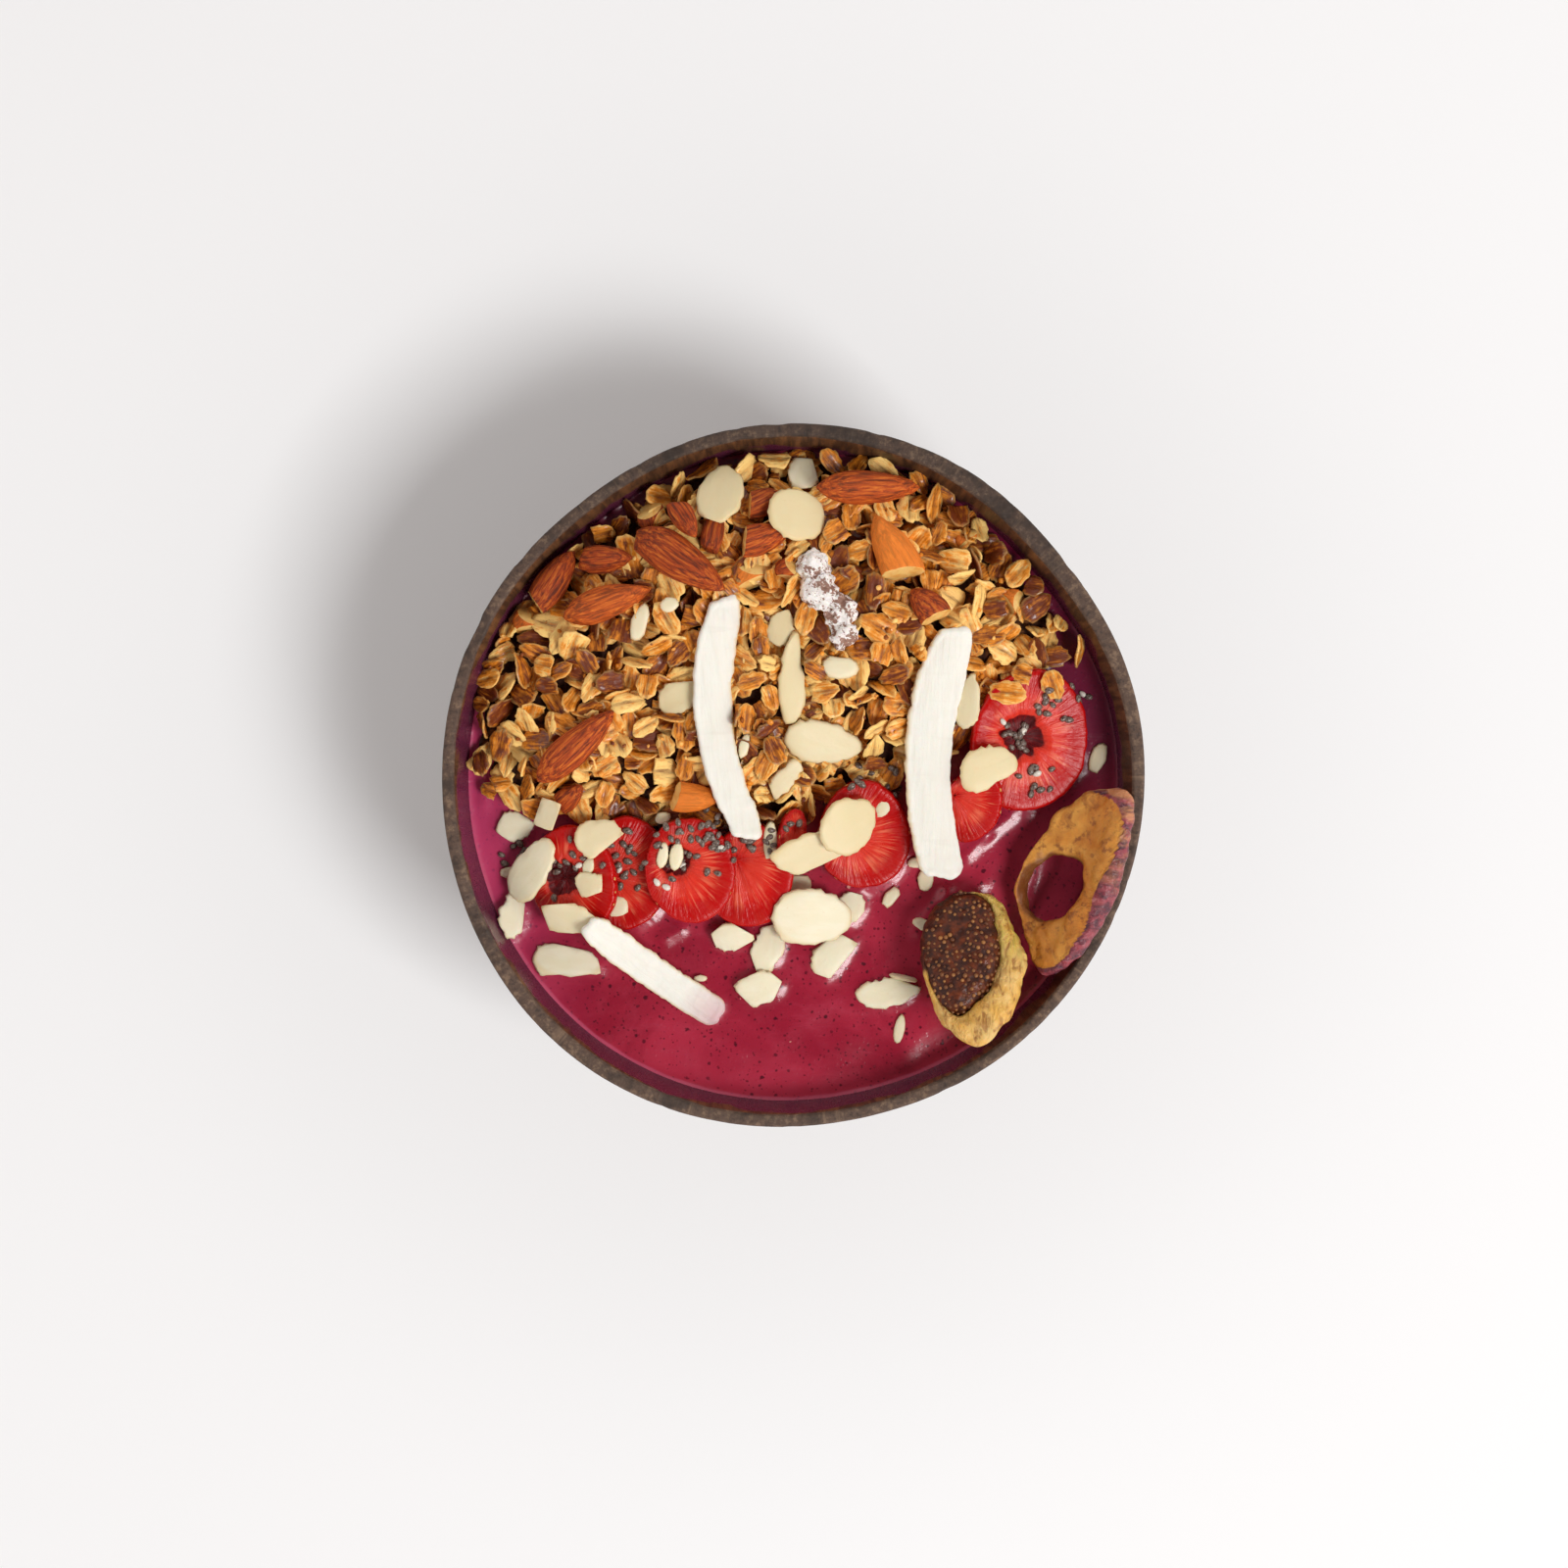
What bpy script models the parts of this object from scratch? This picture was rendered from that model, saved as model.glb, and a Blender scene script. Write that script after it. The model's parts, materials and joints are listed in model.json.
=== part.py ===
"""Smoothie bowl: half a coconut shell filled with berry smoothie, topped with a heap of
granola, almonds, strawberry slices, coconut chips, almond flakes, a dried fig half and a
dried apple ring. Metres, +Z up, origin at the centre of the flat foot of the shell.
"""

import itertools
import math
import random

import bmesh
import bpy
import numpy as np
from mathutils import Matrix, Vector, noise
from mathutils.bvhtree import BVHTree

MM = 0.001
GAP = 0.3 * MM
SEED = 11

# Shell: half of a nut, sawn at its widest and sanded flat where it stands
RIM_RADIUS = 74.9 * MM
BOWL_HEIGHT = 62.0 * MM
FOOT_RADIUS = 20.0 * MM
WALL = 2.8 * MM
FLOOR = 5.0 * MM
RIM_ROUND = 0.6 * MM
SIDES = 48
# Where the nut is out of round, and where its wall is thick: degrees, mm, spread in degrees
SWELLS = ((232, 1.7, 34), (38, -1.4, 16), (128, -1.3, 18), (283, -0.4, 15))
THICKER = ((48, 1.3, 32), (225, 0.6, 30))

# Smoothie: its surface lies this far under the rim and climbs a little at the wall
FILL_DEPTH = 11.0 * MM
CLIMB = 0.6 * MM
CLIMB_WIDTH = 1.8 * MM
WAVE = 0.35 * MM
WAVE_LENGTH = 34.0 * MM

# Heap of granola: its edge in mm from the bowl's axis, round from the left, then its crown
HEAP_EDGE = (
    (-67.5, 9.4), (-64.5, -5.2), (-53.3, -7.1), (-38.3, -9.2), (-25.1, -8.8),
    (-13.6, -10.0), (-4.2, -12.6), (7.3, -3.1), (18.8, -1.0), (26.2, 1.0),
    (39.7, 9.4), (50.2, 18.8), (56.9, 29.3), (49.8, 41.8), (34.5, 57.5),
    (14.6, 67.0), (-4.2, 67.5), (-23.0, 64.0), (-35.6, 56.1), (-51.5, 42.0),
    (-64.0, 27.2),
)
HEAP_CENTRE = (-4.0, 31.0)
HEAP_RISE = 8.8 * MM
HEAP_SIDES = 40
# Its slope from the underside up: share of the edge's reach, share of the rise
HEAP_SLOPE = (
    (0.96, 0.0), (1.0, 0.16), (0.93, 0.42), (0.78, 0.7), (0.58, 0.9), (0.36, 1.0), (0.14, 1.02),
)
HEAP_LUMP = 1.0 * MM
HEAP_LUMP_SIZE = 13.0 * MM
HEAP_LUMPS_OVER = 0.2
OAT = (7.2, 5.6, 1.5)
OAT_SPACING = 5.3 * MM
OAT_TRIES = 1500
OAT_ROOM = 1.12
OAT_SINK = 0.1 * MM

# Almonds on the heap: x, y, length, width, turn, and how much of the tail is cut off
ALMONDS = (
    (-51.5, 41.0, 17.0, 9.5, 57, 0.15), (-40.4, 45.8, 13.0, 8.5, 0, 0.1),
    (-39.7, 36.4, 20.5, 10.0, 17, 0.0), (-24.0, 45.4, 23.5, 12.5, -34, 0.0),
    (-23.4, 54.4, 11.0, 7.0, -63, 0.2), (-17.2, 51.5, 11.0, 7.0, 80, 0.1),
    (-6.5, 57.7, 10.5, 8.4, 20, 0.2), (-7.3, 49.8, 13.5, 9.6, 15, 0.25),
    (16.1, 61.1, 23.0, 10.0, 3, 0.0), (21.7, 46.0, 20.0, 12.5, 117, 0.3),
    (28.6, 35.4, 11.5, 9.5, 135, 0.25), (-46.4, 5.9, 23.0, 10.5, 42, 0.0),
    (-22.0, -5.0, 13.5, 8.8, 0, 0.25), (-48.1, -5.0, 9.0, 7.0, 45, 0.2),
)
ALMOND_THICK = 0.66
ALMOND_POINT = 0.42
# Its cross-section: share of the outline, share of the thickness
ALMOND_LEVELS = ((0.42, -0.5), (0.84, -0.31), (1.0, 0.0), (0.84, 0.31), (0.42, 0.5))
CHOP = Vector((-1, 0.35, 0.2)).normalized()

# Strawberry slices, lowest first: x, y, length, width, turn, thickness, width of the hollow
STRAWBERRIES = (
    (50.4, 7.9, 32.0, 27.5, 75, 3.8, 6.5), (-9.4, -21.3, 23.5, 21.0, 80, 3.0, 0.0),
    (-36.0, -20.5, 26.0, 20.0, 85, 3.0, 0.0), (-46.4, -22.8, 24.5, 21.5, 100, 3.2, 5.0),
    (-22.0, -20.1, 23.0, 21.0, 95, 3.2, 5.0), (-1.0, -13.0, 11.5, 6.5, 80, 2.6, 0.0),
    (15.1, -12.8, 25.0, 22.0, 85, 3.6, 0.0), (38.4, -6.0, 17.5, 14.0, 60, 2.8, 0.0),
)
BERRY_SIDES = 13
HOLLOW_DEPTH = 0.4
SEEDS_PER_SLICE = 6
SEED_ROOM = 1.6
CHIA = (2.1, 1.4, 1.3)

# Coconut chips: x, y, length, width, narrow end's width, turn, bow of the centre line
CHIPS = (
    (-12.5, 12.0, 49.0, 8.0, 6.2, -84, -5.0), (33.0, 4.6, 51.0, 9.6, 8.4, -93, -4.6),
    (-30.3, -41.6, 33.5, 6.2, 5.8, -36, -0.6),
)
CHIP_THICK = 1.1 * MM
CHIP_ARCH = 1.2 * MM
CHIP_STEPS = 12
CHIP_TIP = (0.3, 0.28)

# Almond flakes, lowest first: x, y, length, width, turn, and how much of a side is missing
FLAKES = (
    (-15.5, 59.2, 15.0, 11.0, 80, 0.0), (2.1, 64.2, 9.0, 8.0, 90, 0.15),
    (0.6, 54.8, 14.0, 13.4, 0, 0.0), (-24.5, 16.7, 9.5, 8.0, 30, 0.1),
    (-2.7, 31.2, 8.5, 6.2, 70, 0.0), (-0.2, 20.5, 20.0, 6.4, 88, 0.2),
    (6.1, 6.9, 17.5, 10.5, -10, 0.12), (-1.7, -0.6, 11.0, 4.4, 52, 0.0),
    (37.4, 15.5, 11.5, 6.4, 80, 0.2), (41.4, 1.0, 13.0, 12.0, 20, 0.25),
    (5.2, -15.9, 20.5, 10.5, 14, 0.2), (11.3, -10.7, 14.2, 13.4, 30, 0.0),
    (12.3, -28.7, 8.2, 6.6, 60, 0.0), (8.8, -39.1, 12.5, 8.5, 45, 0.25),
    (-13.2, -34.9, 9.8, 7.4, 0, 0.1), (-5.6, -37.2, 12.2, 7.4, 72, 0.0),
    (-7.3, -46.0, 10.5, 9.2, 10, 0.15), (3.8, -30.5, 18.2, 14.2, -5, 0.0),
    (20.1, -47.1, 13.6, 6.8, 10, 0.0), (-48.7, -40.6, 15.4, 9.6, -12, 0.25),
    (-60.7, -30.3, 10.2, 6.6, 82, 0.0), (-60.0, -11.3, 8.2, 7.4, 0, 0.15),
    (-52.3, -8.4, 8.4, 6.8, 60, 0.1), (-55.9, -20.5, 16.6, 9.6, 52, 0.0),
    (-41.6, -13.6, 10.4, 9.6, 30, 0.2), (-43.5, -23.4, 6.8, 6.2, 0, 0.0),
    (-47.7, -30.8, 13.6, 9.6, -10, 0.2),
)
FLAKE_THICK = 1.0 * MM
FLAKE_SIDES = 11
FLAKE_CUP = 0.24
BREAK = Vector((0.2, -1, 0)).normalized()

# Dried fruit leaning on the rim: place, size, and the way that the raised side faces
FIG_PLACE = (39.7, -44.4)
FIG_THICK = 10.5 * MM
FIG_FACES = -64
FIG_SIDES = 18
FIG_EDGE = (
    (0.0, 18.8), (6.2, 17.0), (7.9, 11.2), (11.5, 3.4), (11.2, -1.6), (8.8, -9.6), (5.0, -15.4),
    (0.9, -18.8), (-5.6, -14.2), (-9.6, -7.2), (-11.6, 0.8), (-11.2, 6.0), (-9.7, 11.6),
    (-5.4, 17.2),
)
PULP_EDGE = (
    (-1.9, 16.3), (2.0, 15.2), (4.0, 9.6), (5.0, 2.8), (4.2, -1.8), (1.6, -6.2),
    (-1.8, -10.6), (-4.9, -10.0), (-8.2, -3.6), (-10.1, 3.6), (-8.7, 10.8), (-5.6, 15.2),
)
# Skin from the base up: share of the outline, share of the thickness
FIG_SIDE = ((0.4, 0.0), (0.8, 0.14), (1.0, 0.48), (0.97, 0.76))
# Its lip from outside in: share of the way to the pulp's edge, share of the thickness
FIG_LIP = ((0.5, 0.98), (0.97, 0.88), (1.0, 0.5))
# Crown of the pulp from its edge in: share of its edge, share of the thickness
PULP_CROWN = ((0.9, 0.5), (0.9, 0.86), (0.7, 0.97), (0.46, 1.0), (0.2, 0.98))
PULP_LUMP = 0.5 * MM
PULP_LUMP_SIZE = 4.0 * MM
PULP_LUMPS_OVER = 0.9
RING_PLACE = (61.2, -24.0)
RING_THICK = 5.5 * MM
RING_FACES = -16
RING_SIDES = 24
RING_EDGE = (
    (3.2, 20.8), (13.4, 20.3), (13.2, 9.4), (11.5, 2.1), (8.0, -5.2), (5.0, -12.6),
    (-0.6, -18.2), (-7.4, -20.4), (-10.8, -13.2), (-13.8, -5.2), (-13.2, 2.1),
    (-8.6, 9.8), (-5.0, 16.1),
)
RING_HOLE = (14.2, 11.8, 28)
RING_HOLE_AT = (-5.2, -0.6)
RING_WAVE = 0.8 * MM
# Round its section from the outer edge: share of the way to the hole, share of the thickness
RING_SECTION = ((0.08, 0.0), (0.0, 0.4), (0.1, 1.0), (0.8, 0.85), (1.0, 0.5), (0.85, 0.05))

# White frosted cluster near the crown of the heap: lumps as x, y, radius
FROSTED_PLACE = (7.6, 36.8)
FROSTED_TURN = -62
FROSTED_LUMPS = ((-8.0, 0.4, 3.4), (-3.0, -1.2, 4.0), (3.0, 1.0, 3.5), (7.8, -0.8, 3.0))
LUMP_HEIGHT = 0.7
LUMP_LEVELS = ((0.55, -1.0), (1.0, -0.3), (0.9, 0.5), (0.4, 1.0))

MAX_LEAN = 30
SAMPLES = 30
RIM_LEANS = range(6, 46, 2)
SWEEP_STEP = 0.4 * MM
SWEEP_FINE = 0.01 * MM

# Finish: colour as 0-255 red, green, blue, then roughness
FINISHES = {
    "shell": ((92, 70, 56), 0.62),
    "smoothie": ((165, 42, 66), 0.25),
    "granola": ((196, 140, 78), 0.7),
    "almond": ((160, 84, 38), 0.6),
    "strawberry": ((214, 52, 38), 0.3),
    "coconut": ((243, 238, 230), 0.6),
    "flake": ((238, 224, 190), 0.55),
    "frosting": ((232, 222, 222), 0.7),
    "fig_skin": ((205, 155, 75), 0.5),
    "fig_pulp": ((86, 41, 21), 0.45),
    "apple": ((168, 108, 50), 0.5),
}


def clear_scene():
    """Remove what the scene starts with."""
    for item in list(bpy.data.objects):
        bpy.data.objects.remove(item, do_unlink=True)


def linear(channel):
    """One 0-255 screen channel as scene-linear light."""
    value = channel / 255
    return value / 12.92 if value <= 0.04045 else ((value + 0.055) / 1.055) ** 2.4


def finish_of(name):
    """A Principled material, made once for each finish."""
    if name in bpy.data.materials:
        return bpy.data.materials[name]
    colour, roughness = FINISHES[name]
    material = bpy.data.materials.new(name)
    material.use_nodes = True
    shader = material.node_tree.nodes["Principled BSDF"]
    shader.inputs["Base Color"].default_value = (*(linear(c) for c in colour), 1.0)
    shader.inputs["Roughness"].default_value = roughness
    shader.inputs["Metallic"].default_value = 0.0
    return material


def add_object(name, bm, finish, place=None):
    """Turn a bmesh into a named object with its finish, and shade its round faces smooth."""
    bmesh.ops.triangulate(bm, faces=bm.faces)
    mesh = bpy.data.meshes.new(name)
    bm.to_mesh(mesh)
    bm.free()
    item = bpy.data.objects.new(name, mesh)
    bpy.context.collection.objects.link(item)
    mesh.materials.append(finish_of(finish))
    mesh.shade_smooth()
    mesh.set_sharp_from_angle(angle=math.radians(50))
    if place is not None:
        item.matrix_world = place
    return item


def loft(rings, closed=False):
    """Bridge rings of points into one solid, capped at both ends or closed on itself."""
    bm = bmesh.new()
    loops = []
    for ring in rings:
        verts = [bm.verts.new(point) for point in ring]
        loops.append([bm.edges.new((verts[i - 1], verts[i])) for i in range(len(verts))])
    pairs = list(zip(loops, loops[1:]))
    if closed:
        pairs.append((loops[-1], loops[0]))
    for lower, upper in pairs:
        bmesh.ops.bridge_loops(bm, edges=lower + upper)
    if not closed:
        bmesh.ops.contextual_create(bm, geom=loops[0])
        bmesh.ops.contextual_create(bm, geom=loops[-1])
    bmesh.ops.recalc_face_normals(bm, faces=bm.faces)
    return bm


def around(count):
    """Evenly spaced angles round a circle."""
    return [math.tau * i / count for i in range(count)]


def bump_sum(bumps, angle):
    """Total of the bell-shaped bumps (degrees, mm, spread) at an angle."""
    total = 0.0
    for centre, rise, spread in bumps:
        away = (math.degrees(angle) - centre + 180) % 360 - 180
        total += rise * math.exp(-((away / spread) ** 2))
    return total * MM


def wobble(point, size, seed=0):
    """Smooth noise from -1 to 1 at a point, with features of the given size."""
    return noise.noise(Vector(point) / size + Vector((seed * 7.3, seed * 3.1, 0)))


# The shell's two faces are half ellipsoids that share the rim's plane
OUTER_DEPTH = BOWL_HEIGHT / math.sqrt(1 - (FOOT_RADIUS / RIM_RADIUS) ** 2)
INNER_DEPTH = OUTER_DEPTH - FLOOR
FILL_LATITUDE = math.acos((FILL_DEPTH - CLIMB) / INNER_DEPTH)
FILL_LEVEL = BOWL_HEIGHT - FILL_DEPTH
FOOT_LATITUDE = math.asin(FOOT_RADIUS / RIM_RADIUS)
OUTER_LATITUDES = [FOOT_LATITUDE] + [math.radians(degrees) for degrees in (28, 42, 57, 73)]
INNER_LATITUDES = [math.radians(degrees) for degrees in (12, 28, 45, 62)] + [FILL_LATITUDE]


def shell_ring(latitude, inner, inset=0.0):
    """A ring on the outer or inner face: latitude 0 is the bottom, 90 degrees the rim."""
    depth = (INNER_DEPTH if inner else OUTER_DEPTH) - inset
    height = BOWL_HEIGHT - depth * math.cos(latitude)
    ring = []
    for angle in around(SIDES):
        radius = RIM_RADIUS + bump_sum(SWELLS, angle) * math.sin(latitude) ** 2
        if inner:
            radius -= WALL + bump_sum(THICKER, angle)
        reach = (radius - inset) * math.sin(latitude)
        ring.append(Vector((reach * math.cos(angle), reach * math.sin(angle), height)))
    return ring


def moved_ring(ring, outward, upward):
    """A ring shifted away from the axis and up."""
    shifted = []
    for point in ring:
        flat = Vector((point.x, point.y, 0))
        shifted.append(point + flat.normalized() * outward + Vector((0, 0, upward)))
    return shifted


def make_bowl():
    """The coconut shell with its flat foot and rounded, sawn rim."""
    outer_edge = shell_ring(math.pi / 2, inner=False)
    inner_edge = shell_ring(math.pi / 2, inner=True)
    rings = [shell_ring(latitude, inner=False) for latitude in OUTER_LATITUDES]
    rings.append(moved_ring(outer_edge, 0, -RIM_ROUND))
    rings.append(moved_ring(outer_edge, -RIM_ROUND, 0))
    rings.append(moved_ring(inner_edge, RIM_ROUND, 0))
    rings.append(moved_ring(inner_edge, 0, -RIM_ROUND))
    rings += [shell_ring(latitude, inner=True) for latitude in reversed(INNER_LATITUDES)]
    return loft(rings)


def wave(x, y):
    """Height of the slack waves on the smoothie."""
    return FILL_LEVEL + WAVE * wobble((x, y, 0), WAVE_LENGTH, 2)


def make_smoothie():
    """The smoothie: the inside of the shell up to its level, with a lip at the wall."""
    rings = [shell_ring(latitude, inner=True, inset=GAP) for latitude in INNER_LATITUDES]
    edge = moved_ring(rings[-1], -CLIMB_WIDTH, 0)
    for reach in (1.0, 0.78, 0.52, 0.26):
        ring = [Vector((p.x * reach, p.y * reach, 0)) for p in edge]
        rings.append([Vector((p.x, p.y, wave(p.x, p.y))) for p in ring])
    return loft(rings)


def smooth_loop(points, count):
    """Evenly spaced points on a smooth closed curve through the given ones."""
    knots = [Vector((x * MM, y * MM)) for x, y in points]
    dense = []
    total = len(knots)
    for i in range(total):
        a, b, c, d = (knots[(i + k - 1) % total] for k in range(4))
        for t in (0.0, 0.25, 0.5, 0.75):
            dense.append(0.5 * (2 * b + (c - a) * t + (2 * a - 5 * b + 4 * c - d) * t * t
                                + (3 * b - a - 3 * c + d) * t ** 3))
    dense.append(dense[0])
    steps = [(q - p).length for p, q in zip(dense, dense[1:])]
    marks = np.concatenate(([0.0], np.cumsum(steps)))
    at = np.linspace(0, marks[-1], count, endpoint=False)
    xs = np.interp(at, marks, [p.x for p in dense])
    ys = np.interp(at, marks, [p.y for p in dense])
    return [Vector((x, y)) for x, y in zip(xs, ys)]


def make_heap_core():
    """The bare heap: a lumpy mound with a blunt edge, over a flat underside."""
    edge = smooth_loop(HEAP_EDGE, HEAP_SIDES)
    centre = Vector(HEAP_CENTRE) * MM
    rings = []
    for reach, rise in HEAP_SLOPE:
        ring = []
        for point in edge:
            flat = centre + (point - centre) * reach
            lump = HEAP_LUMP * wobble((flat.x, flat.y, 0), HEAP_LUMP_SIZE, 5)
            if rise < HEAP_LUMPS_OVER:
                lump = 0.0
            ring.append(Vector((flat.x, flat.y, HEAP_RISE * rise + lump)))
        rings.append(ring)
    return loft(rings)


def oval(length, width, sides, point=0.0, ragged=0.0, seed=0):
    """Outline of a flat oval in mm, pointed at +X by the given amount, ragged by noise."""
    outline = []
    for angle in around(sides):
        taper = 1 - point * (1 + math.cos(angle)) / 2
        uneven = 1 + ragged * wobble((math.cos(angle), math.sin(angle), seed), 0.6, seed)
        x = length / 2 * math.cos(angle) * uneven
        y = width / 2 * math.sin(angle) * uneven * taper
        outline.append(Vector((x * MM, y * MM)))
    return outline


def stacked(outline, levels):
    """A solid of one outline, scaled and lifted level by level: (scale, height)."""
    return loft([[Vector((p.x * s, p.y * s, z)) for p in outline] for s, z in levels])


def cut_off(bm, place, direction):
    """Cut a solid at a plane and close it, keeping what lies behind the plane."""
    whole = bm.verts[:] + bm.edges[:] + bm.faces[:]
    cut = bmesh.ops.bisect_plane(bm, geom=whole, plane_co=place, plane_no=direction,
                                 clear_outer=True)
    edges = [e for e in cut["geom_cut"] if isinstance(e, bmesh.types.BMEdge)]
    bmesh.ops.contextual_create(bm, geom=edges)
    bmesh.ops.recalc_face_normals(bm, faces=bm.faces)


def make_almond(length, width, tail, sides=10):
    """An almond, pointed at one end; tail is the share of it that was chopped off."""
    thick = width * ALMOND_THICK * MM
    outline = oval(length, width, sides, point=ALMOND_POINT, ragged=0.06, seed=length + width)
    bm = stacked(outline, [(share, level * thick) for share, level in ALMOND_LEVELS])
    if tail:
        cut_off(bm, Vector((-length * (0.5 - tail) * MM, 0, 0)), CHOP)
    return bm


def make_flake(length, width, missing, seed):
    """A thin slice of almond, a little cupped, with a side broken off where one is missing."""
    outline = oval(length, width, FLAKE_SIDES, point=0.25, ragged=0.1, seed=seed)
    bm = stacked(outline, ((1.0, 0.0), (0.95, FLAKE_THICK)))
    if missing:
        cut_off(bm, Vector((0, -width * (0.5 - missing) * MM, 0)), BREAK)
    for vert in bm.verts:
        vert.co.z += FLAKE_CUP * vert.co.y ** 2 / (width * MM)
    return bm


def make_strawberry(length, width, thick, hollow, seed):
    """A cross slice of strawberry with a rounded outer skin, and a hollow at some cores."""
    outline = oval(length, width, BERRY_SIDES, point=0.12, ragged=0.07, seed=seed)
    thick *= MM
    levels = [(0.88, 0.0), (1.0, thick * 0.4), (0.97, thick * 0.8), (0.88, thick)]
    if hollow:
        share = hollow / width
        levels += [(share * 1.4, thick * 0.94), (share * 0.8, thick * (1 - HOLLOW_DEPTH))]
    return stacked(outline, levels)


def make_chip(length, width, narrow, bow):
    """A curled strip of coconut: bent along its length and arched across its width."""
    tip, taper = CHIP_TIP
    rings = []
    for i in range(CHIP_STEPS + 1):
        t = i / CHIP_STEPS * 2 - 1
        half = (width + (narrow - width) * (t + 1) / 2) / 2 * MM
        half *= 1 - taper * max(0.0, tip - 1 - t) / tip
        half *= 1 + 0.05 * wobble((t * 3, bow, 0), 1.0, 4)
        x = t * length / 2 * MM
        y = bow * MM * (1 - t * t)
        lift = CHIP_ARCH * t * t
        ring = []
        for across, up in ((-1, 0), (0, CHIP_ARCH * 0.5), (1, 0)):
            ring.append(Vector((x, y + half * across, lift + up)))
        for across, up in ((1, 0), (0, CHIP_ARCH * 0.5), (-1, 0)):
            ring.append(Vector((x, y + half * across, lift + up + CHIP_THICK)))
        rings.append(ring)
    return loft(rings)


def make_fig_skin():
    """The leathery skin of the fig half: a shallow cup whose lip folds over on one side."""
    edge = smooth_loop(FIG_EDGE, FIG_SIDES)
    mouth = smooth_loop(PULP_EDGE, FIG_SIDES)
    rings = [[Vector((p.x * s, p.y * s, z * FIG_THICK)) for p in edge]
             for s, z in FIG_SIDE]
    for share, lift in FIG_LIP:
        flat = [rim.lerp(inner, share) for rim, inner in zip(edge, mouth)]
        rings.append([Vector((p.x, p.y, lift * FIG_THICK)) for p in flat])
    return loft(rings)


def make_fig_pulp():
    """The seedy pulp that fills the skin, crowned and lumpy."""
    mouth = smooth_loop(PULP_EDGE, FIG_SIDES)
    middle = sum(mouth, Vector((0, 0))) / FIG_SIDES
    rings = []
    for share, lift in PULP_CROWN:
        ring = []
        for point in mouth:
            flat = middle.lerp(point, share)
            lump = PULP_LUMP * wobble((flat.x, flat.y, 0), PULP_LUMP_SIZE, 8)
            if lift < PULP_LUMPS_OVER:
                lump = 0.0
            ring.append(Vector((flat.x, flat.y, lift * FIG_THICK + GAP + lump)))
        rings.append(ring)
    return loft(rings)


def make_apple_ring():
    """A dried slice of apple: wavy, with the hole of its core near one edge."""
    outer = smooth_loop(RING_EDGE, RING_SIDES)
    length, width, turn = RING_HOLE
    start = math.atan2(outer[0].y, outer[0].x)
    tilt = Matrix.Rotation(math.radians(turn), 2)
    hole = []
    for angle in around(RING_SIDES):
        way = start - angle - math.radians(turn)
        spoke = Vector((length / 2 * math.cos(way), width / 2 * math.sin(way)))
        hole.append(tilt @ spoke * MM + Vector(RING_HOLE_AT) * MM)
    rings = []
    for share, lift in RING_SECTION:
        ring = []
        for rim, core in zip(outer, hole):
            flat = rim.lerp(core, share)
            swing = RING_WAVE * math.sin(3 * math.atan2(flat.y, flat.x))
            ring.append(Vector((flat.x, flat.y, RING_THICK * lift + swing)))
        rings.append(ring)
    return loft(rings, closed=True)


def make_lump(radius, sides=7):
    """A rough round lump, a little flatter than wide."""
    outline = oval(2 * radius, 2 * radius, sides, ragged=0.12, seed=radius)
    half = radius * LUMP_HEIGHT * MM
    return stacked(outline, [(share, level * half) for share, level in LUMP_LEVELS])


def make_oat(rng):
    """One rolled oat of the heap: a thin six-sided flake of uneven size."""
    length, width, thick = (size * rng.uniform(0.85, 1.15) for size in OAT)
    outline = oval(length, width, 6, point=0.2, ragged=0.12, seed=rng.random())
    return stacked(outline, ((1.0, -thick / 2 * MM), (0.82, thick / 2 * MM)))


def make_chia():
    """One chia seed: a small faceted lozenge."""
    length, width, thick = CHIA
    outline = oval(length, width, 6)
    return stacked(outline, ((1.0, -thick / 4 * MM), (0.5, thick / 2 * MM)))


def tree_of(bm, place):
    """Search tree of a solid where it is placed."""
    points = [place @ vert.co for vert in bm.verts]
    return BVHTree.FromPolygons(points, [[v.index for v in f.verts] for f in bm.faces])


def indexed(bm):
    """Split a solid's faces into triangles and number its points."""
    bmesh.ops.triangulate(bm, faces=bm.faces)
    bm.verts.index_update()
    bm.verts.ensure_lookup_table()
    return bm


def height_at(trees, x, y):
    """Height of the uppermost solid under a point, or of the bowl's floor."""
    best = FLOOR
    for tree in trees:
        hit = tree.ray_cast(Vector((x, y, 3 * BOWL_HEIGHT)), Vector((0, 0, -1)))[0]
        if hit is not None:
            best = max(best, hit.z)
    return best


def resting_plane(samples):
    """The lowest plane over all samples at their centre, as its two slopes."""
    points = np.array(samples)
    corners = points[np.array(list(itertools.combinations(range(len(points)), 3)))]
    normals = np.cross(corners[:, 1] - corners[:, 0], corners[:, 2] - corners[:, 0])
    kept = np.abs(normals[:, 2]) > 1e-9
    corners, normals = corners[kept], normals[kept]
    slopes = -normals[:, :2] / normals[:, 2:]
    base = corners[:, 0, 2] - np.sum(slopes * corners[:, 0, :2], axis=1)
    over = slopes @ points[:, :2].T + base[:, None] - points[:, 2]
    holds = over.min(axis=1) > -1e-7
    slopes, base = slopes[holds], base[holds]
    return slopes[np.argmin(base)]


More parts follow.
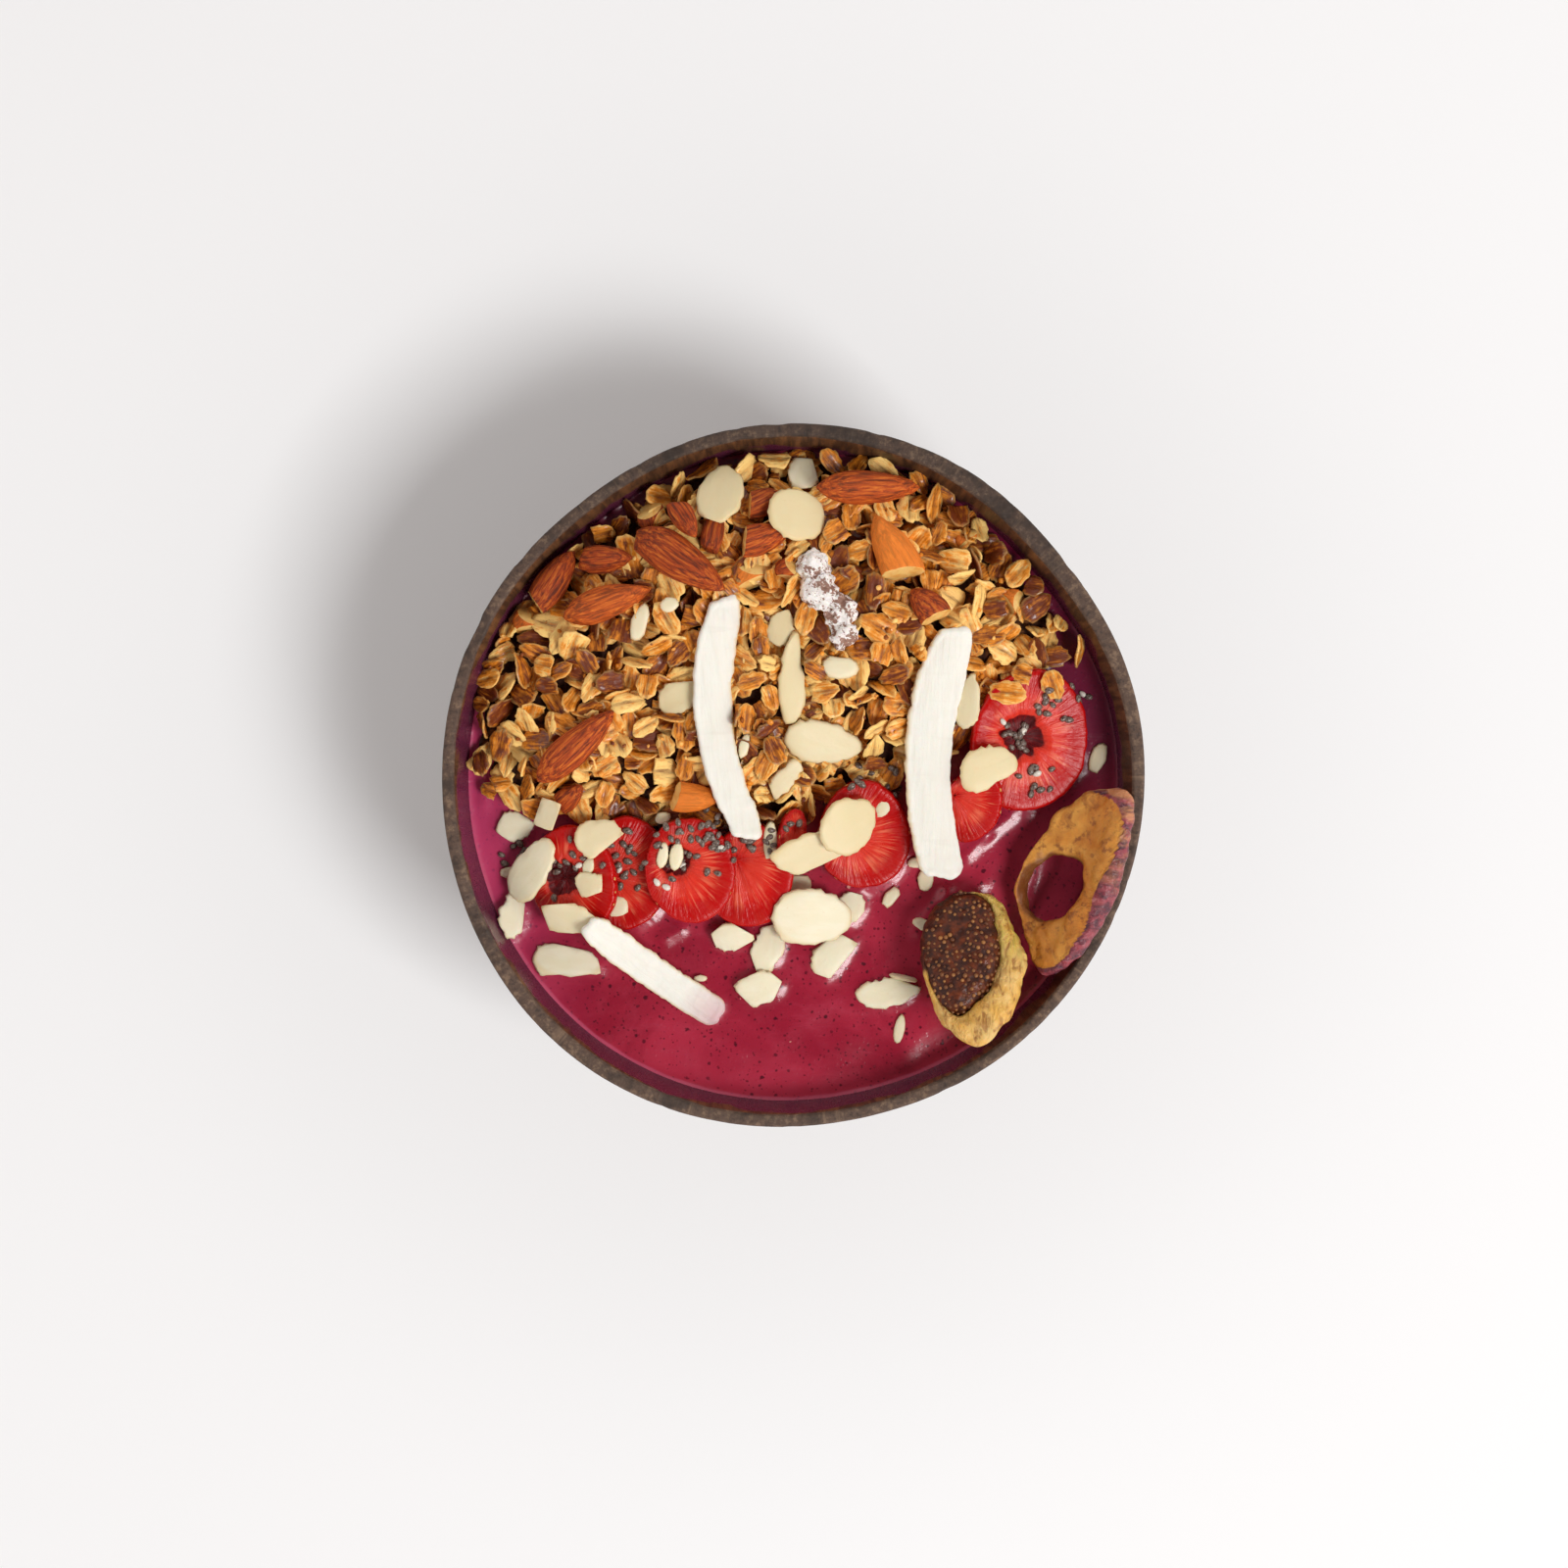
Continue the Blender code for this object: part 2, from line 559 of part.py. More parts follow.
def upright(bm, x, y, turn, trees):
    """Turn a piece and tip it to the plane that it would rest on."""
    spin = Matrix.Rotation(math.radians(turn), 4, "Z")
    samples = []
    for vert in bm.verts[:][::max(1, len(bm.verts) // SAMPLES)]:
        spot = spin @ vert.co
        samples.append((spot.x, spot.y, height_at(trees, x + spot.x, y + spot.y)))
    slope_x, slope_y = resting_plane(samples)
    steep = math.hypot(slope_x, slope_y)
    limit = math.tan(math.radians(MAX_LEAN))
    if steep > limit:
        slope_x, slope_y = slope_x * limit / steep, slope_y * limit / steep
    normal = Vector((-slope_x, -slope_y, 1)).normalized()
    return Vector((0, 0, 1)).rotation_difference(normal).to_matrix().to_4x4() @ spin


def drop(bms, x, y, pose, trees):
    """Lower posed solids until they touch what is laid, and return their place a gap above."""
    def touches(height):
        place = Matrix.Translation((x, y, height)) @ pose
        own = [tree_of(bm, place) for bm in bms]
        return any(a.overlap(b) for a in own for b in trees)

    high = 1.6 * BOWL_HEIGHT
    while not touches(high - SWEEP_STEP) and high > 0:
        high -= SWEEP_STEP
    low = high - SWEEP_STEP
    while high - low > SWEEP_FINE:
        middle = (high + low) / 2
        if touches(middle):
            low = middle
        else:
            high = middle
    return Matrix.Translation((x, y, high + GAP)) @ pose


def leaned(bms, x, y, faces, trees):
    """Lean solids on the rim with one side raised, at the angle where they lie lowest."""
    way = math.radians(faces)
    axis = Vector((math.sin(way), -math.cos(way), 0))
    places = []
    for lean in RIM_LEANS:
        pose = Matrix.Rotation(math.radians(lean), 4, axis)
        place = drop(bms, x, y, pose, trees)
        heights = [(place @ vert.co).z for bm in bms for vert in bm.verts]
        places.append((sum(heights) / len(heights), place))
    return min(places, key=lambda entry: entry[0])[1]


class Table:
    """The solids laid so far, which the next ones rest on."""

    def __init__(self):
        self.trees = []
        self.skins = {}

    def lay(self, name, bm, finish, place):
        """Add a solid where it is placed."""
        tree = tree_of(indexed(bm), place)
        self.trees.append(tree)
        self.skins[name] = tree
        return add_object(name, bm, finish, place)

    def rest(self, name, bm, finish, x, y, turn):
        """Set a solid down at x, y in mm, tipped as what is under it tips it."""
        indexed(bm)
        pose = upright(bm, x * MM, y * MM, turn, self.trees)
        return self.lay(name, bm, finish, drop([bm], x * MM, y * MM, pose, self.trees))

    def others(self, name):
        """Search trees of all solids but the named one."""
        return [tree for key, tree in self.skins.items() if key != name]


def largest_shell(bm):
    """Keep a fused solid's outer skin: drop loose scraps and sealed hollows."""
    bm.faces.ensure_lookup_table()
    left = set(bm.faces)
    shells = []
    while left:
        seed = left.pop()
        shell, edge = {seed}, [seed]
        while edge:
            face = edge.pop()
            for side in face.edges:
                for near in side.link_faces:
                    if near in left:
                        left.remove(near)
                        shell.add(near)
                        edge.append(near)
        shells.append(shell)
    shells.sort(key=len)
    spare = [face for shell in shells[:-1] for face in shell]
    bmesh.ops.delete(bm, geom=spare, context="FACES")


def fuse(item, pieces):
    """Join small pieces onto a solid with one union, applied, and remove the pieces."""
    if not pieces:
        return
    shelf = bpy.data.collections.new("pieces of " + item.name)
    bpy.context.scene.collection.children.link(shelf)
    for i, (bm, place) in enumerate(pieces):
        mesh = bpy.data.meshes.new("piece")
        bm.to_mesh(mesh)
        bm.free()
        piece = bpy.data.objects.new(f"piece_{i}", mesh)
        shelf.objects.link(piece)
        piece.matrix_world = place
    union = item.modifiers.new("union", "BOOLEAN")
    union.operation = "UNION"
    union.operand_type = "COLLECTION"
    union.collection = shelf
    graph = bpy.context.evaluated_depsgraph_get()
    fused = bmesh.new()
    fused.from_mesh(bpy.data.meshes.new_from_object(item.evaluated_get(graph)))
    item.modifiers.remove(union)
    for piece in list(shelf.objects):
        bpy.data.objects.remove(piece, do_unlink=True)
    bpy.data.collections.remove(shelf)
    largest_shell(fused)
    bmesh.ops.triangulate(fused, faces=fused.faces)
    fused.to_mesh(item.data)
    fused.free()
    item.data.shade_smooth()
    item.data.set_sharp_from_angle(angle=math.radians(40))


def crosses(bm, place, room, trees):
    """Whether a piece, grown by some room, meets any of the solids."""
    tree = tree_of(indexed(bm), place @ Matrix.Scale(room, 4))
    return any(tree.overlap(other) for other in trees)


def oats_of_heap(core, others, rng):
    """Rolled oats spread evenly over the bare heap, clear of everything that lies on it."""
    reach = max(math.hypot(x, y) for x, y in HEAP_EDGE) * MM
    spots, oats = [], []
    for _ in range(OAT_TRIES):
        x, y = rng.uniform(-reach, reach), rng.uniform(-reach, reach)
        if any(math.hypot(x - a, y - b) < OAT_SPACING for a, b in spots):
            continue
        hit, normal = core.ray_cast(Vector((x, y, 3 * BOWL_HEIGHT)), Vector((0, 0, -1)))[:2]
        if hit is None:
            continue
        for lean in (rng.uniform(10, 60), 12, 0):
            bm = make_oat(rng)
            spin = Matrix.Rotation(rng.uniform(0, math.tau), 4, "Z")
            tip = Matrix.Rotation(math.radians(lean), 4, "X")
            out = Vector((0, 0, 1)).rotation_difference(normal).to_matrix().to_4x4()
            lift = OAT_SINK + OAT[1] / 4 * MM * math.sin(math.radians(lean))
            place = Matrix.Translation(hit + normal * lift) @ out @ spin @ tip
            if crosses(bm, place, OAT_ROOM, others):
                bm.free()
                continue
            oats.append((bm, place))
            spots.append((x, y))
            break
    return oats


def seeds_of_slice(item, skin, others, rng):
    """Chia seeds scattered on one strawberry slice, where nothing else lies on it."""
    corners = [item.matrix_world @ vert.co for vert in item.data.vertices]
    low = Vector([min(c[i] for c in corners) for i in range(3)])
    high = Vector([max(c[i] for c in corners) for i in range(3)])
    seeds = []
    for _ in range(SEEDS_PER_SLICE * 4):
        if len(seeds) == SEEDS_PER_SLICE:
            break
        x, y = rng.uniform(low.x, high.x), rng.uniform(low.y, high.y)
        hit, normal = skin.ray_cast(Vector((x, y, 3 * BOWL_HEIGHT)), Vector((0, 0, -1)))[:2]
        if hit is None or normal.z < 0.7:
            continue
        bm = make_chia()
        out = Vector((0, 0, 1)).rotation_difference(normal).to_matrix().to_4x4()
        spin = Matrix.Rotation(rng.uniform(0, math.tau), 4, "Z")
        place = Matrix.Translation(hit + normal * 0.25 * MM) @ out @ spin
        spread = min(((place.translation - p.translation).length for _, p in seeds), default=1)
        if spread < CHIA[0] * 1.4 * MM or crosses(bm, place, SEED_ROOM, others):
            bm.free()
            continue
        seeds.append((bm, place))
    return seeds


def lay_dried_fruit(table):
    """Lean the apple ring and the fig half on the rim, the fig's skin and pulp together."""
    x, y = (value * MM for value in RING_PLACE)
    ring = indexed(make_apple_ring())
    place = leaned([ring], x, y, RING_FACES, table.trees)
    table.lay("apple_ring", ring, "apple", place)
    x, y = (value * MM for value in FIG_PLACE)
    skin = indexed(make_fig_skin())
    pulp = indexed(make_fig_pulp())
    place = leaned([skin, pulp], x, y, FIG_FACES, table.trees)
    table.lay("fig_skin", skin, "fig_skin", place)
    table.lay("fig_pulp", pulp, "fig_pulp", place)


def lay_frosted_cluster(table):
    """Set down the frosted cluster, a row of lumps fused into one."""
    first = FROSTED_LUMPS[0]
    rest = FROSTED_LUMPS[1:]
    bm = make_lump(first[2])
    bmesh.ops.translate(bm, verts=bm.verts, vec=Vector((first[0] * MM, first[1] * MM, 0)))
    item = add_object("frosted_cluster", bm, "frosting")
    fuse(item, [(make_lump(r), Matrix.Translation((x * MM, y * MM, 0))) for x, y, r in rest])
    whole = bmesh.new()
    whole.from_mesh(item.data)
    bpy.data.objects.remove(item, do_unlink=True)
    x, y = FROSTED_PLACE
    table.rest("frosted_cluster", whole, "frosting", x, y, FROSTED_TURN)


def main():
    """Build the bowl from the shell up, then fuse oats and seeds where they have room."""
    clear_scene()
    rng = random.Random(SEED)
    table = Table()
    table.lay("coconut_bowl", make_bowl(), "shell", Matrix())
    table.lay("smoothie", make_smoothie(), "smoothie", Matrix())
    core = indexed(make_heap_core())
    place = drop([core], 0, 0, Matrix(), table.trees)
    granola = table.lay("granola", core, "granola", place)
    berries = []
    for i, (x, y, length, width, turn, thick, hollow) in enumerate(STRAWBERRIES, 1):
        bm = make_strawberry(length, width, thick, hollow, i)
        berries.append(table.rest(f"strawberry_slice_{i}", bm, "strawberry", x, y, turn))
    for i, (x, y, length, width, turn, tail) in enumerate(ALMONDS, 1):
        table.rest(f"almond_{i:02d}", make_almond(length, width, tail), "almond", x, y, turn)
    lay_frosted_cluster(table)
    lay_dried_fruit(table)
    for i, (x, y, length, width, turn, missing) in enumerate(FLAKES, 1):
        bm = make_flake(length, width, missing, i)
        table.rest(f"almond_flake_{i:02d}", bm, "flake", x, y, turn)
    for i, (x, y, length, width, narrow, turn, bow) in enumerate(CHIPS, 1):
        bm = make_chip(length, width, narrow, bow)
        table.rest(f"coconut_chip_{i}", bm, "coconut", x, y, turn)
    fuse(granola, oats_of_heap(table.skins["granola"], table.others("granola"), rng))
    for item in berries:
        seeds = seeds_of_slice(item, table.skins[item.name], table.others(item.name), rng)
        fuse(item, seeds)


main()
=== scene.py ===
"""Smoothie bowl, dressed: a coconut shell with a glossy berry smoothie, toasted granola,
almonds, strawberry slices, coconut chips, almond flakes and dried fruit.

Laid out as an add-on and run as a script. The packed solids are loaded as a fixed frame.
Each operator makes one piece, or one group of like pieces, over the solids it replaces.
"""

import json
import math
import random

import bmesh
import bpy
import numpy as np
from bpy.props import FloatProperty, FloatVectorProperty, IntProperty, PointerProperty
from mathutils import Matrix, Vector, noise
from mathutils.bvhtree import BVHTree

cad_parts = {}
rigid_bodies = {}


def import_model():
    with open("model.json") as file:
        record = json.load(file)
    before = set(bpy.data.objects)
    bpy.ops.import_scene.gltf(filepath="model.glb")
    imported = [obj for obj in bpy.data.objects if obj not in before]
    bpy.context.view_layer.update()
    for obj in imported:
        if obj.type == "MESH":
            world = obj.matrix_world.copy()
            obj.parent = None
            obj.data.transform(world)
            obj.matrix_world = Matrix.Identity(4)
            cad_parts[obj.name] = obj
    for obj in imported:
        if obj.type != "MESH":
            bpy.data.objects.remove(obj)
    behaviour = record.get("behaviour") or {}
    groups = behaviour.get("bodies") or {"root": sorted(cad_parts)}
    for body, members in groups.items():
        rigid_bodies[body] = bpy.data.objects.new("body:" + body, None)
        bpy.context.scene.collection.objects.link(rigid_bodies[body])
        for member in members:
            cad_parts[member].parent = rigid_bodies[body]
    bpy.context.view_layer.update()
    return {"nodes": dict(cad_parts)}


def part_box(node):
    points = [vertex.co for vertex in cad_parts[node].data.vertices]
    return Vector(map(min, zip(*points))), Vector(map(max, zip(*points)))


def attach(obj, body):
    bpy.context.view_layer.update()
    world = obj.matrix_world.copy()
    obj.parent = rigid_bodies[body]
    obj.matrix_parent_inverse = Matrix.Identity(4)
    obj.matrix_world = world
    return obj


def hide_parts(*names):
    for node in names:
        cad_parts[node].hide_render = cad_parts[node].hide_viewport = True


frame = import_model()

bl_info = {
    "name": "Smoothie Bowl",
    "version": (1, 0, 0),
    "blender": (4, 5, 0),
    "location": "View3D > Sidebar > Smoothie Bowl",
    "description": "Dresses the solids of a smoothie bowl as food, shell and studio light",
    "category": "Object",
}

BODY = "root"
MM = 0.001
WELD = 0.002 * MM
UP, DOWN = Vector((0, 0, 1)), Vector((0, 0, -1))
OVERHEAD = 0.3


def nodes_named(start):
    """Names of the packed solids that begin with a word, in order."""
    return sorted(name for name in frame["nodes"] if name.startswith(start))


def screen(red, green, blue):
    """A 0-255 screen colour as scene-linear light."""
    values = [channel / 255 for channel in (red, green, blue)]
    return tuple(v / 12.92 if v <= 0.04045 else ((v + 0.055) / 1.055) ** 2.4 for v in values)


def colour_prop(name, description, red, green, blue):
    """A colour that a user may change."""
    return FloatVectorProperty(name=name, description=description, subtype="COLOR",
                               size=3, min=0.0, max=1.0, default=screen(red, green, blue))


def length_prop(name, description, millimetres):
    """A length that a user may change."""
    return FloatProperty(name=name, description=description, unit="LENGTH",
                         subtype="DISTANCE", min=0.0, default=millimetres * MM)


class ShellLooks(bpy.types.PropertyGroup):
    """Colours and relief of the coconut shell."""

    rim: colour_prop("Sawn rim", "Grey-brown of the sawn edge", 88, 67, 55)
    fleck: colour_prop("Flecks", "Pale fibres in the sawn edge", 132, 106, 84)
    inside: colour_prop("Inside", "Dark brown of the inner wall", 66, 42, 27)
    outside: colour_prop("Outside", "Brown of the polished outer face", 74, 46, 28)
    stain: colour_prop("Stain", "Smoothie smeared on the inner wall", 92, 34, 62)
    relief: length_prop("Relief", "Depth of the nicks along the rim", 0.5)


class SmoothieLooks(bpy.types.PropertyGroup):
    """Colours and surface of the smoothie."""

    body: colour_prop("Smoothie", "Crimson of the smoothie", 182, 44, 68)
    deep: colour_prop("Deep", "Darker swirls of the smoothie", 154, 26, 50)
    film: colour_prop("Film", "Thin purple edge along the wall", 112, 34, 72)
    speck: colour_prop("Specks", "Dark berry skins in the smoothie", 64, 6, 24)
    cling: length_prop("Cling", "How far it climbs around what lies in it", 0.75)
    swell: length_prop("Swell", "Height of the slack waves", 0.45)


class GranolaLooks(bpy.types.PropertyGroup):
    """Sizes, number and colours of the rolled oats."""

    length: length_prop("Oat length", "Length of a rolled oat", 7.6)
    width: length_prop("Oat width", "Width of a rolled oat", 5.1)
    thickness: length_prop("Oat thickness", "Thickness of a rolled oat", 0.8)
    count: IntProperty(name="Oats", description="How many oats lie in the heap",
                       default=780, min=10, max=800)
    crumbs: IntProperty(name="Crumbs", description="How many crumbs lie between the oats",
                        default=160, min=0, max=2000)
    pale: colour_prop("Pale", "Straw colour of the oats' edges", 252, 208, 124)
    golden: colour_prop("Golden", "Honey colour of most oats", 230, 138, 30)
    toasted: colour_prop("Toasted", "Brown of the darkest oats", 108, 42, 4)
    # Painted shade: the colour of the core seen in the gaps between the oats.
    core: colour_prop("Core", "Dark brown deep in the heap", 66, 28, 6)


class AlmondLooks(bpy.types.PropertyGroup):
    """Colours and wrinkles of the almonds and the almond flakes."""

    skin: colour_prop("Skin", "Reddish brown of the almond skin", 186, 70, 10)
    ridge: colour_prop("Ridges", "Ochre of the ridges on the skin", 230, 128, 40)
    groove: colour_prop("Grooves", "Dark brown of the grooves", 104, 36, 6)
    kernel: colour_prop("Kernel", "Cream of a cut kernel", 234, 190, 112)
    flake: colour_prop("Flake", "Ivory of a sliced almond", 238, 226, 194)
    wrinkle: length_prop("Wrinkles", "Depth of the wrinkles in the skin", 0.3)


class BerryLooks(bpy.types.PropertyGroup):
    """Colours of the strawberry slices and of the chia seeds on them."""

    rim: colour_prop("Rim", "Deep red of the outer flesh", 186, 5, 5)
    flesh: colour_prop("Flesh", "Red of the flesh", 214, 20, 9)
    streak: colour_prop("Streaks", "Pale orange-pink of the radial streaks", 246, 150, 110)
    # Painted shade in the hollow of a slice.
    hollow_shade: colour_prop("Heart", "Dark red of the hollow", 84, 14, 20)
    achene: colour_prop("Pips", "Pale yellow of the strawberry's pips", 240, 190, 110)
    chia: colour_prop("Chia", "Grey-brown of the chia seeds", 128, 110, 98)


class DriedLooks(bpy.types.PropertyGroup):
    """Colours of the coconut chips, the fig, the apple and the frosting."""

    coconut: colour_prop("Coconut", "White of the coconut chips", 236, 232, 221)
    cream: colour_prop("Cream", "Cream of the chips' brown side", 226, 200, 152)
    fig_skin: colour_prop("Fig skin", "Golden skin of the dried fig", 226, 170, 72)
    fig_green: colour_prop("Fig green", "Yellow-green of the fig's ridge", 196, 176, 70)
    fig_pulp: colour_prop("Fig pulp", "Dark brown of the fig's pulp", 56, 18, 4)
    fig_seed: colour_prop("Fig seeds", "Golden brown of the fig's seeds", 164, 108, 54)
    apple: colour_prop("Apple", "Amber of the dried apple flesh", 192, 114, 26)
    apple_brown: colour_prop("Apple brown", "Brown flecks in the apple", 122, 56, 8)
    apple_skin: colour_prop("Apple skin", "Reddish purple of the apple skin", 152, 60, 70)
    frosting: colour_prop("Frosting", "White of the frosted cluster", 254, 246, 240)
    frosting_speck: colour_prop("Frosting specks", "Brown bits under the frosting", 156, 100, 70)


class StageLooks(bpy.types.PropertyGroup):
    """Camera height, floor and light."""

    camera_height: length_prop("Camera height", "Height of the lens above the floor", 712)
    floor: colour_prop("Floor", "Near white of the floor", 244, 243, 243)
    key: FloatProperty(name="Key light", description="Power of the soft key light",
                       subtype="POWER", default=44.5)
    sky: FloatProperty(name="Sky", description="Strength of the even light", default=1.1)


class Wire:
    """A shader value: arithmetic on it adds the Math nodes behind it."""

    def __init__(self, web, socket):
        self.web = web
        self.socket = socket

    def __add__(self, other):
        return self.web.math("ADD", self, other)

    def __sub__(self, other):
        return self.web.math("SUBTRACT", self, other)

    def __rsub__(self, other):
        return self.web.math("SUBTRACT", other, self)

    def __mul__(self, other):
        return self.web.math("MULTIPLY", self, other)

    __radd__ = __add__
    __rmul__ = __mul__


class Web:
    """A tree of shader nodes."""

    def __init__(self, owner):
        owner.use_nodes = True
        self.tree = owner.node_tree

    def add(self, kind, settings=None, sockets=None):
        """A node with its settings made first, then the values or links of its sockets."""
        node = self.tree.nodes.new(kind)
        for key, value in (settings or {}).items():
            setattr(node, key, value)
        for key, value in (sockets or {}).items():
            self.feed(node.inputs[key], value)
        return node

    def feed(self, socket, value):
        """Link a socket, or set its value."""
        if isinstance(value, Wire):
            value = value.socket
        if isinstance(value, bpy.types.NodeSocket):
            self.tree.links.new(value, socket)
        elif socket.type == "RGBA" and len(value) == 3:
            socket.default_value = (*value, 1.0)
        else:
            socket.default_value = value

    def math(self, operation, first, second=0.0):
        """A Math node's result."""
        node = self.add("ShaderNodeMath", {"operation": operation}, {0: first, 1: second})
        return Wire(self, node.outputs[0])

    def most(self, first, second):
        """The larger of two values."""
        return self.math("MAXIMUM", first, second)

    def step(self, value, low, high):
        """Zero below low, one above high, smooth between; high may be the lower one."""
        node = self.add("ShaderNodeMapRange", {"interpolation_type": "SMOOTHSTEP"},
                        {0: value, 1: low, 2: high})
        return Wire(self, node.outputs[0])

    def noise(self, scale, detail=3.0, rough=0.5, at=None, bend=0.0):
        """Noise of so many features to the metre."""
        node = self.add("ShaderNodeTexNoise", None,
                        {"Vector": at or self.place, "Scale": scale, "Detail": detail,
                         "Roughness": rough, "Distortion": bend})
        return Wire(self, node.outputs["Fac"])

    def cells(self, scale, at=None, wanted="Distance"):
        """Distance to, or colour of, the nearest of scattered points."""
        node = self.add("ShaderNodeTexVoronoi", None,
                        {"Vector": at or self.place, "Scale": scale})
        return Wire(self, node.outputs[wanted])

    def stretched(self, at, x, y, z):
        """A vector with its parts multiplied."""
        node = self.add("ShaderNodeVectorMath", {"operation": "MULTIPLY"},
                        {0: at, 1: (x, y, z)})
        return node.outputs[0]

    def parts(self, vector):
        """The three parts of a vector or colour."""
        node = self.add("ShaderNodeSeparateXYZ", None, {0: vector})
        return [Wire(self, socket) for socket in node.outputs]

    def value(self, name):
        """A number kept on the mesh's points."""
        node = self.add("ShaderNodeAttribute", {"attribute_name": name})
        return Wire(self, node.outputs["Fac"])

    def vector(self, name):
        """A vector kept on the mesh's points."""
        return self.add("ShaderNodeAttribute", {"attribute_name": name}).outputs["Vector"]

    def bundle(self, x, y, z):
        """A vector made of three values."""
        return self.add("ShaderNodeCombineXYZ", None, {0: x, 1: y, 2: z}).outputs[0]

    def grain(self, at, stretch, detail, rough, bend):
        """Noise of a vector that is stretched by as many features to the metre."""
        return self.noise(1.0, detail, rough, self.stretched(at, *stretch), bend)

    def mix(self, share, first, second):
        """Two colours mixed by a share from 0 to 1."""
        node = self.add("ShaderNodeMix", {"data_type": "RGBA"},
                        {0: share, 6: first, 7: second})
        return node.outputs[2]

    def cover(self, colour, *layers):
        """A colour with others over it, each where its value passes from low to high."""
        for value, low, high, share, other in layers:
            colour = self.mix(self.step(value, low, high) * share, colour, other)
        return colour

    def shade(self, colour, factor):
        """A colour made darker or lighter by a factor."""
        node = self.add("ShaderNodeVectorMath", {"operation": "SCALE"},
                        {0: colour, "Scale": factor})
        return node.outputs[0]


class Finish(Web):
    """The node tree of one material, around one Principled shader."""

    def __init__(self, name, **uniform):
        self.material = bpy.data.materials.new(name)
        super().__init__(self.material)
        self.place = self.add("ShaderNodeTexCoord").outputs["Object"]
        self.shader = self.tree.nodes["Principled BSDF"]
        for socket, value in uniform.items():
            self.shader.inputs[socket.replace("_", " ")].default_value = value

    def finish(self, colour, roughness=None, height=None, depth=1.0, strength=1.0):
        """Link the colour, the roughness and a bump of the given depth in metres."""
        self.feed(self.shader.inputs["Base Color"], colour)
        if roughness is not None:
            self.feed(self.shader.inputs["Roughness"], roughness)
        if height is not None:
            bump = self.add("ShaderNodeBump", None,
                            {"Height": height, "Distance": depth, "Strength": strength})
            self.feed(self.shader.inputs["Normal"], bump.outputs[0])
        return self.material


class Pile:
    """Points, faces and point values of many small meshes that become one piece."""

    def __init__(self):
        self.points = []
        self.faces = []
        self.slots = []
        self.values = {}
        self.total = 0

    def add(self, points, faces, slots=None, **values):
        """Add a mesh; each value is one number, or an array with an entry for each point."""
        for face in faces:
            self.faces.append([index + self.total for index in face])
        self.slots.extend(slots if slots is not None else [0] * len(faces))
        self.points.append(np.asarray(points, float))
        count = len(points)
        for name, value in values.items():
            entry = np.asarray(value, float)
            if entry.ndim == 0:
                entry = np.full(count, float(value))
            self.values.setdefault(name, []).append(entry)
        self.total += count

    def piece(self, name, materials, replaced=()):
        """Make the piece, let it ride, and hide the solids it stands for."""
        mesh = bpy.data.meshes.new(name)
        mesh.from_pydata(np.concatenate(self.points), [], self.faces)
        for key, entries in self.values.items():
            data = np.concatenate(entries)
            kind = "FLOAT_VECTOR" if data.ndim == 2 else "FLOAT"
            layer = mesh.attributes.new(key, kind, "POINT")
            layer.data.foreach_set("vector" if data.ndim == 2 else "value", data.ravel())
        mesh.polygons.foreach_set("material_index", self.slots)
        for material in materials:
            mesh.materials.append(material)
        mesh.shade_smooth()
        mesh.validate()
        mesh.update()
        item = linked(name, mesh)
        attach(item, BODY)
        if replaced:
            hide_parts(*replaced)


def linked(name, data):
    """A new object in the scene."""
    item = bpy.data.objects.new(name, data)
    bpy.context.collection.objects.link(item)
    return item


def places(verts):
    """Places of some points as rows of an array."""
    return np.array([vert.co for vert in verts])


def arrays(bm):
    """Points, faces and material numbers of a bmesh, which is then freed."""
    bm.verts.index_update()
    points = places(bm.verts)
    faces = [[vert.index for vert in face.verts] for face in bm.faces]
    slots = [face.material_index for face in bm.faces]
    bm.free()
    return points, faces, slots


def single(shape, name, material, slot, node, **values):
    """Make one piece of one mesh, in the place of one solid."""
    pile = Pile()
    pile.add(*shape, **values)
    pile.piece(name, [material], [node])


def welded(name):
    """A copy of a solid with its loose triangles merged."""
    bm = bmesh.new()
    bm.from_mesh(frame["nodes"][name].data)
    bmesh.ops.remove_doubles(bm, verts=bm.verts, dist=WELD)
    return bm


def node_copy(name, join=40):
    """A copy of a solid with its triangles merged and paired into quads."""
    bm = welded(name)
    bmesh.ops.join_triangles(bm, faces=bm.faces, angle_face_threshold=math.radians(join),
                             angle_shape_threshold=math.radians(180))
    bmesh.ops.recalc_face_normals(bm, faces=bm.faces)
    return bm


def crease(bm, angle, amount):
    """Crease the edges that turn by more than an angle."""
    layer = bm.edges.layers.float.get("crease_edge") or bm.edges.layers.float.new("crease_edge")
    for edge in bm.edges:
        if edge.calc_face_angle(0.0) > math.radians(angle):
            edge[layer] = amount


def modified(bm, kind, **settings):
    """A bmesh as one modifier leaves it."""
    mesh = bpy.data.meshes.new("shaping")
    bm.to_mesh(mesh)
    bm.free()
    item = linked("shaping", mesh)
    modifier = item.modifiers.new("shaping", kind)
    for key, value in settings.items():
        setattr(modifier, key, value)
    graph = bpy.context.evaluated_depsgraph_get()
    shaped = bmesh.new()
    shaped.from_mesh(item.evaluated_get(graph).data)
    bpy.data.objects.remove(item, do_unlink=True)
    bpy.data.meshes.remove(mesh)
    return shaped


def remeshed(name, voxel, rounds):
    """A solid as an even mesh, smoothed a few times."""
    bm = modified(welded(name), "REMESH", mode="VOXEL", voxel_size=voxel)
    for _ in range(rounds):
        bmesh.ops.smooth_vert(bm, verts=bm.verts, factor=0.5, use_axis_x=True,
                              use_axis_y=True, use_axis_z=True)
    return bm


def smoothed(bm, levels):
    """A bmesh subdivided smoothly, keeping its creases."""
    return modified(bm, "SUBSURF", levels=levels, render_levels=levels)


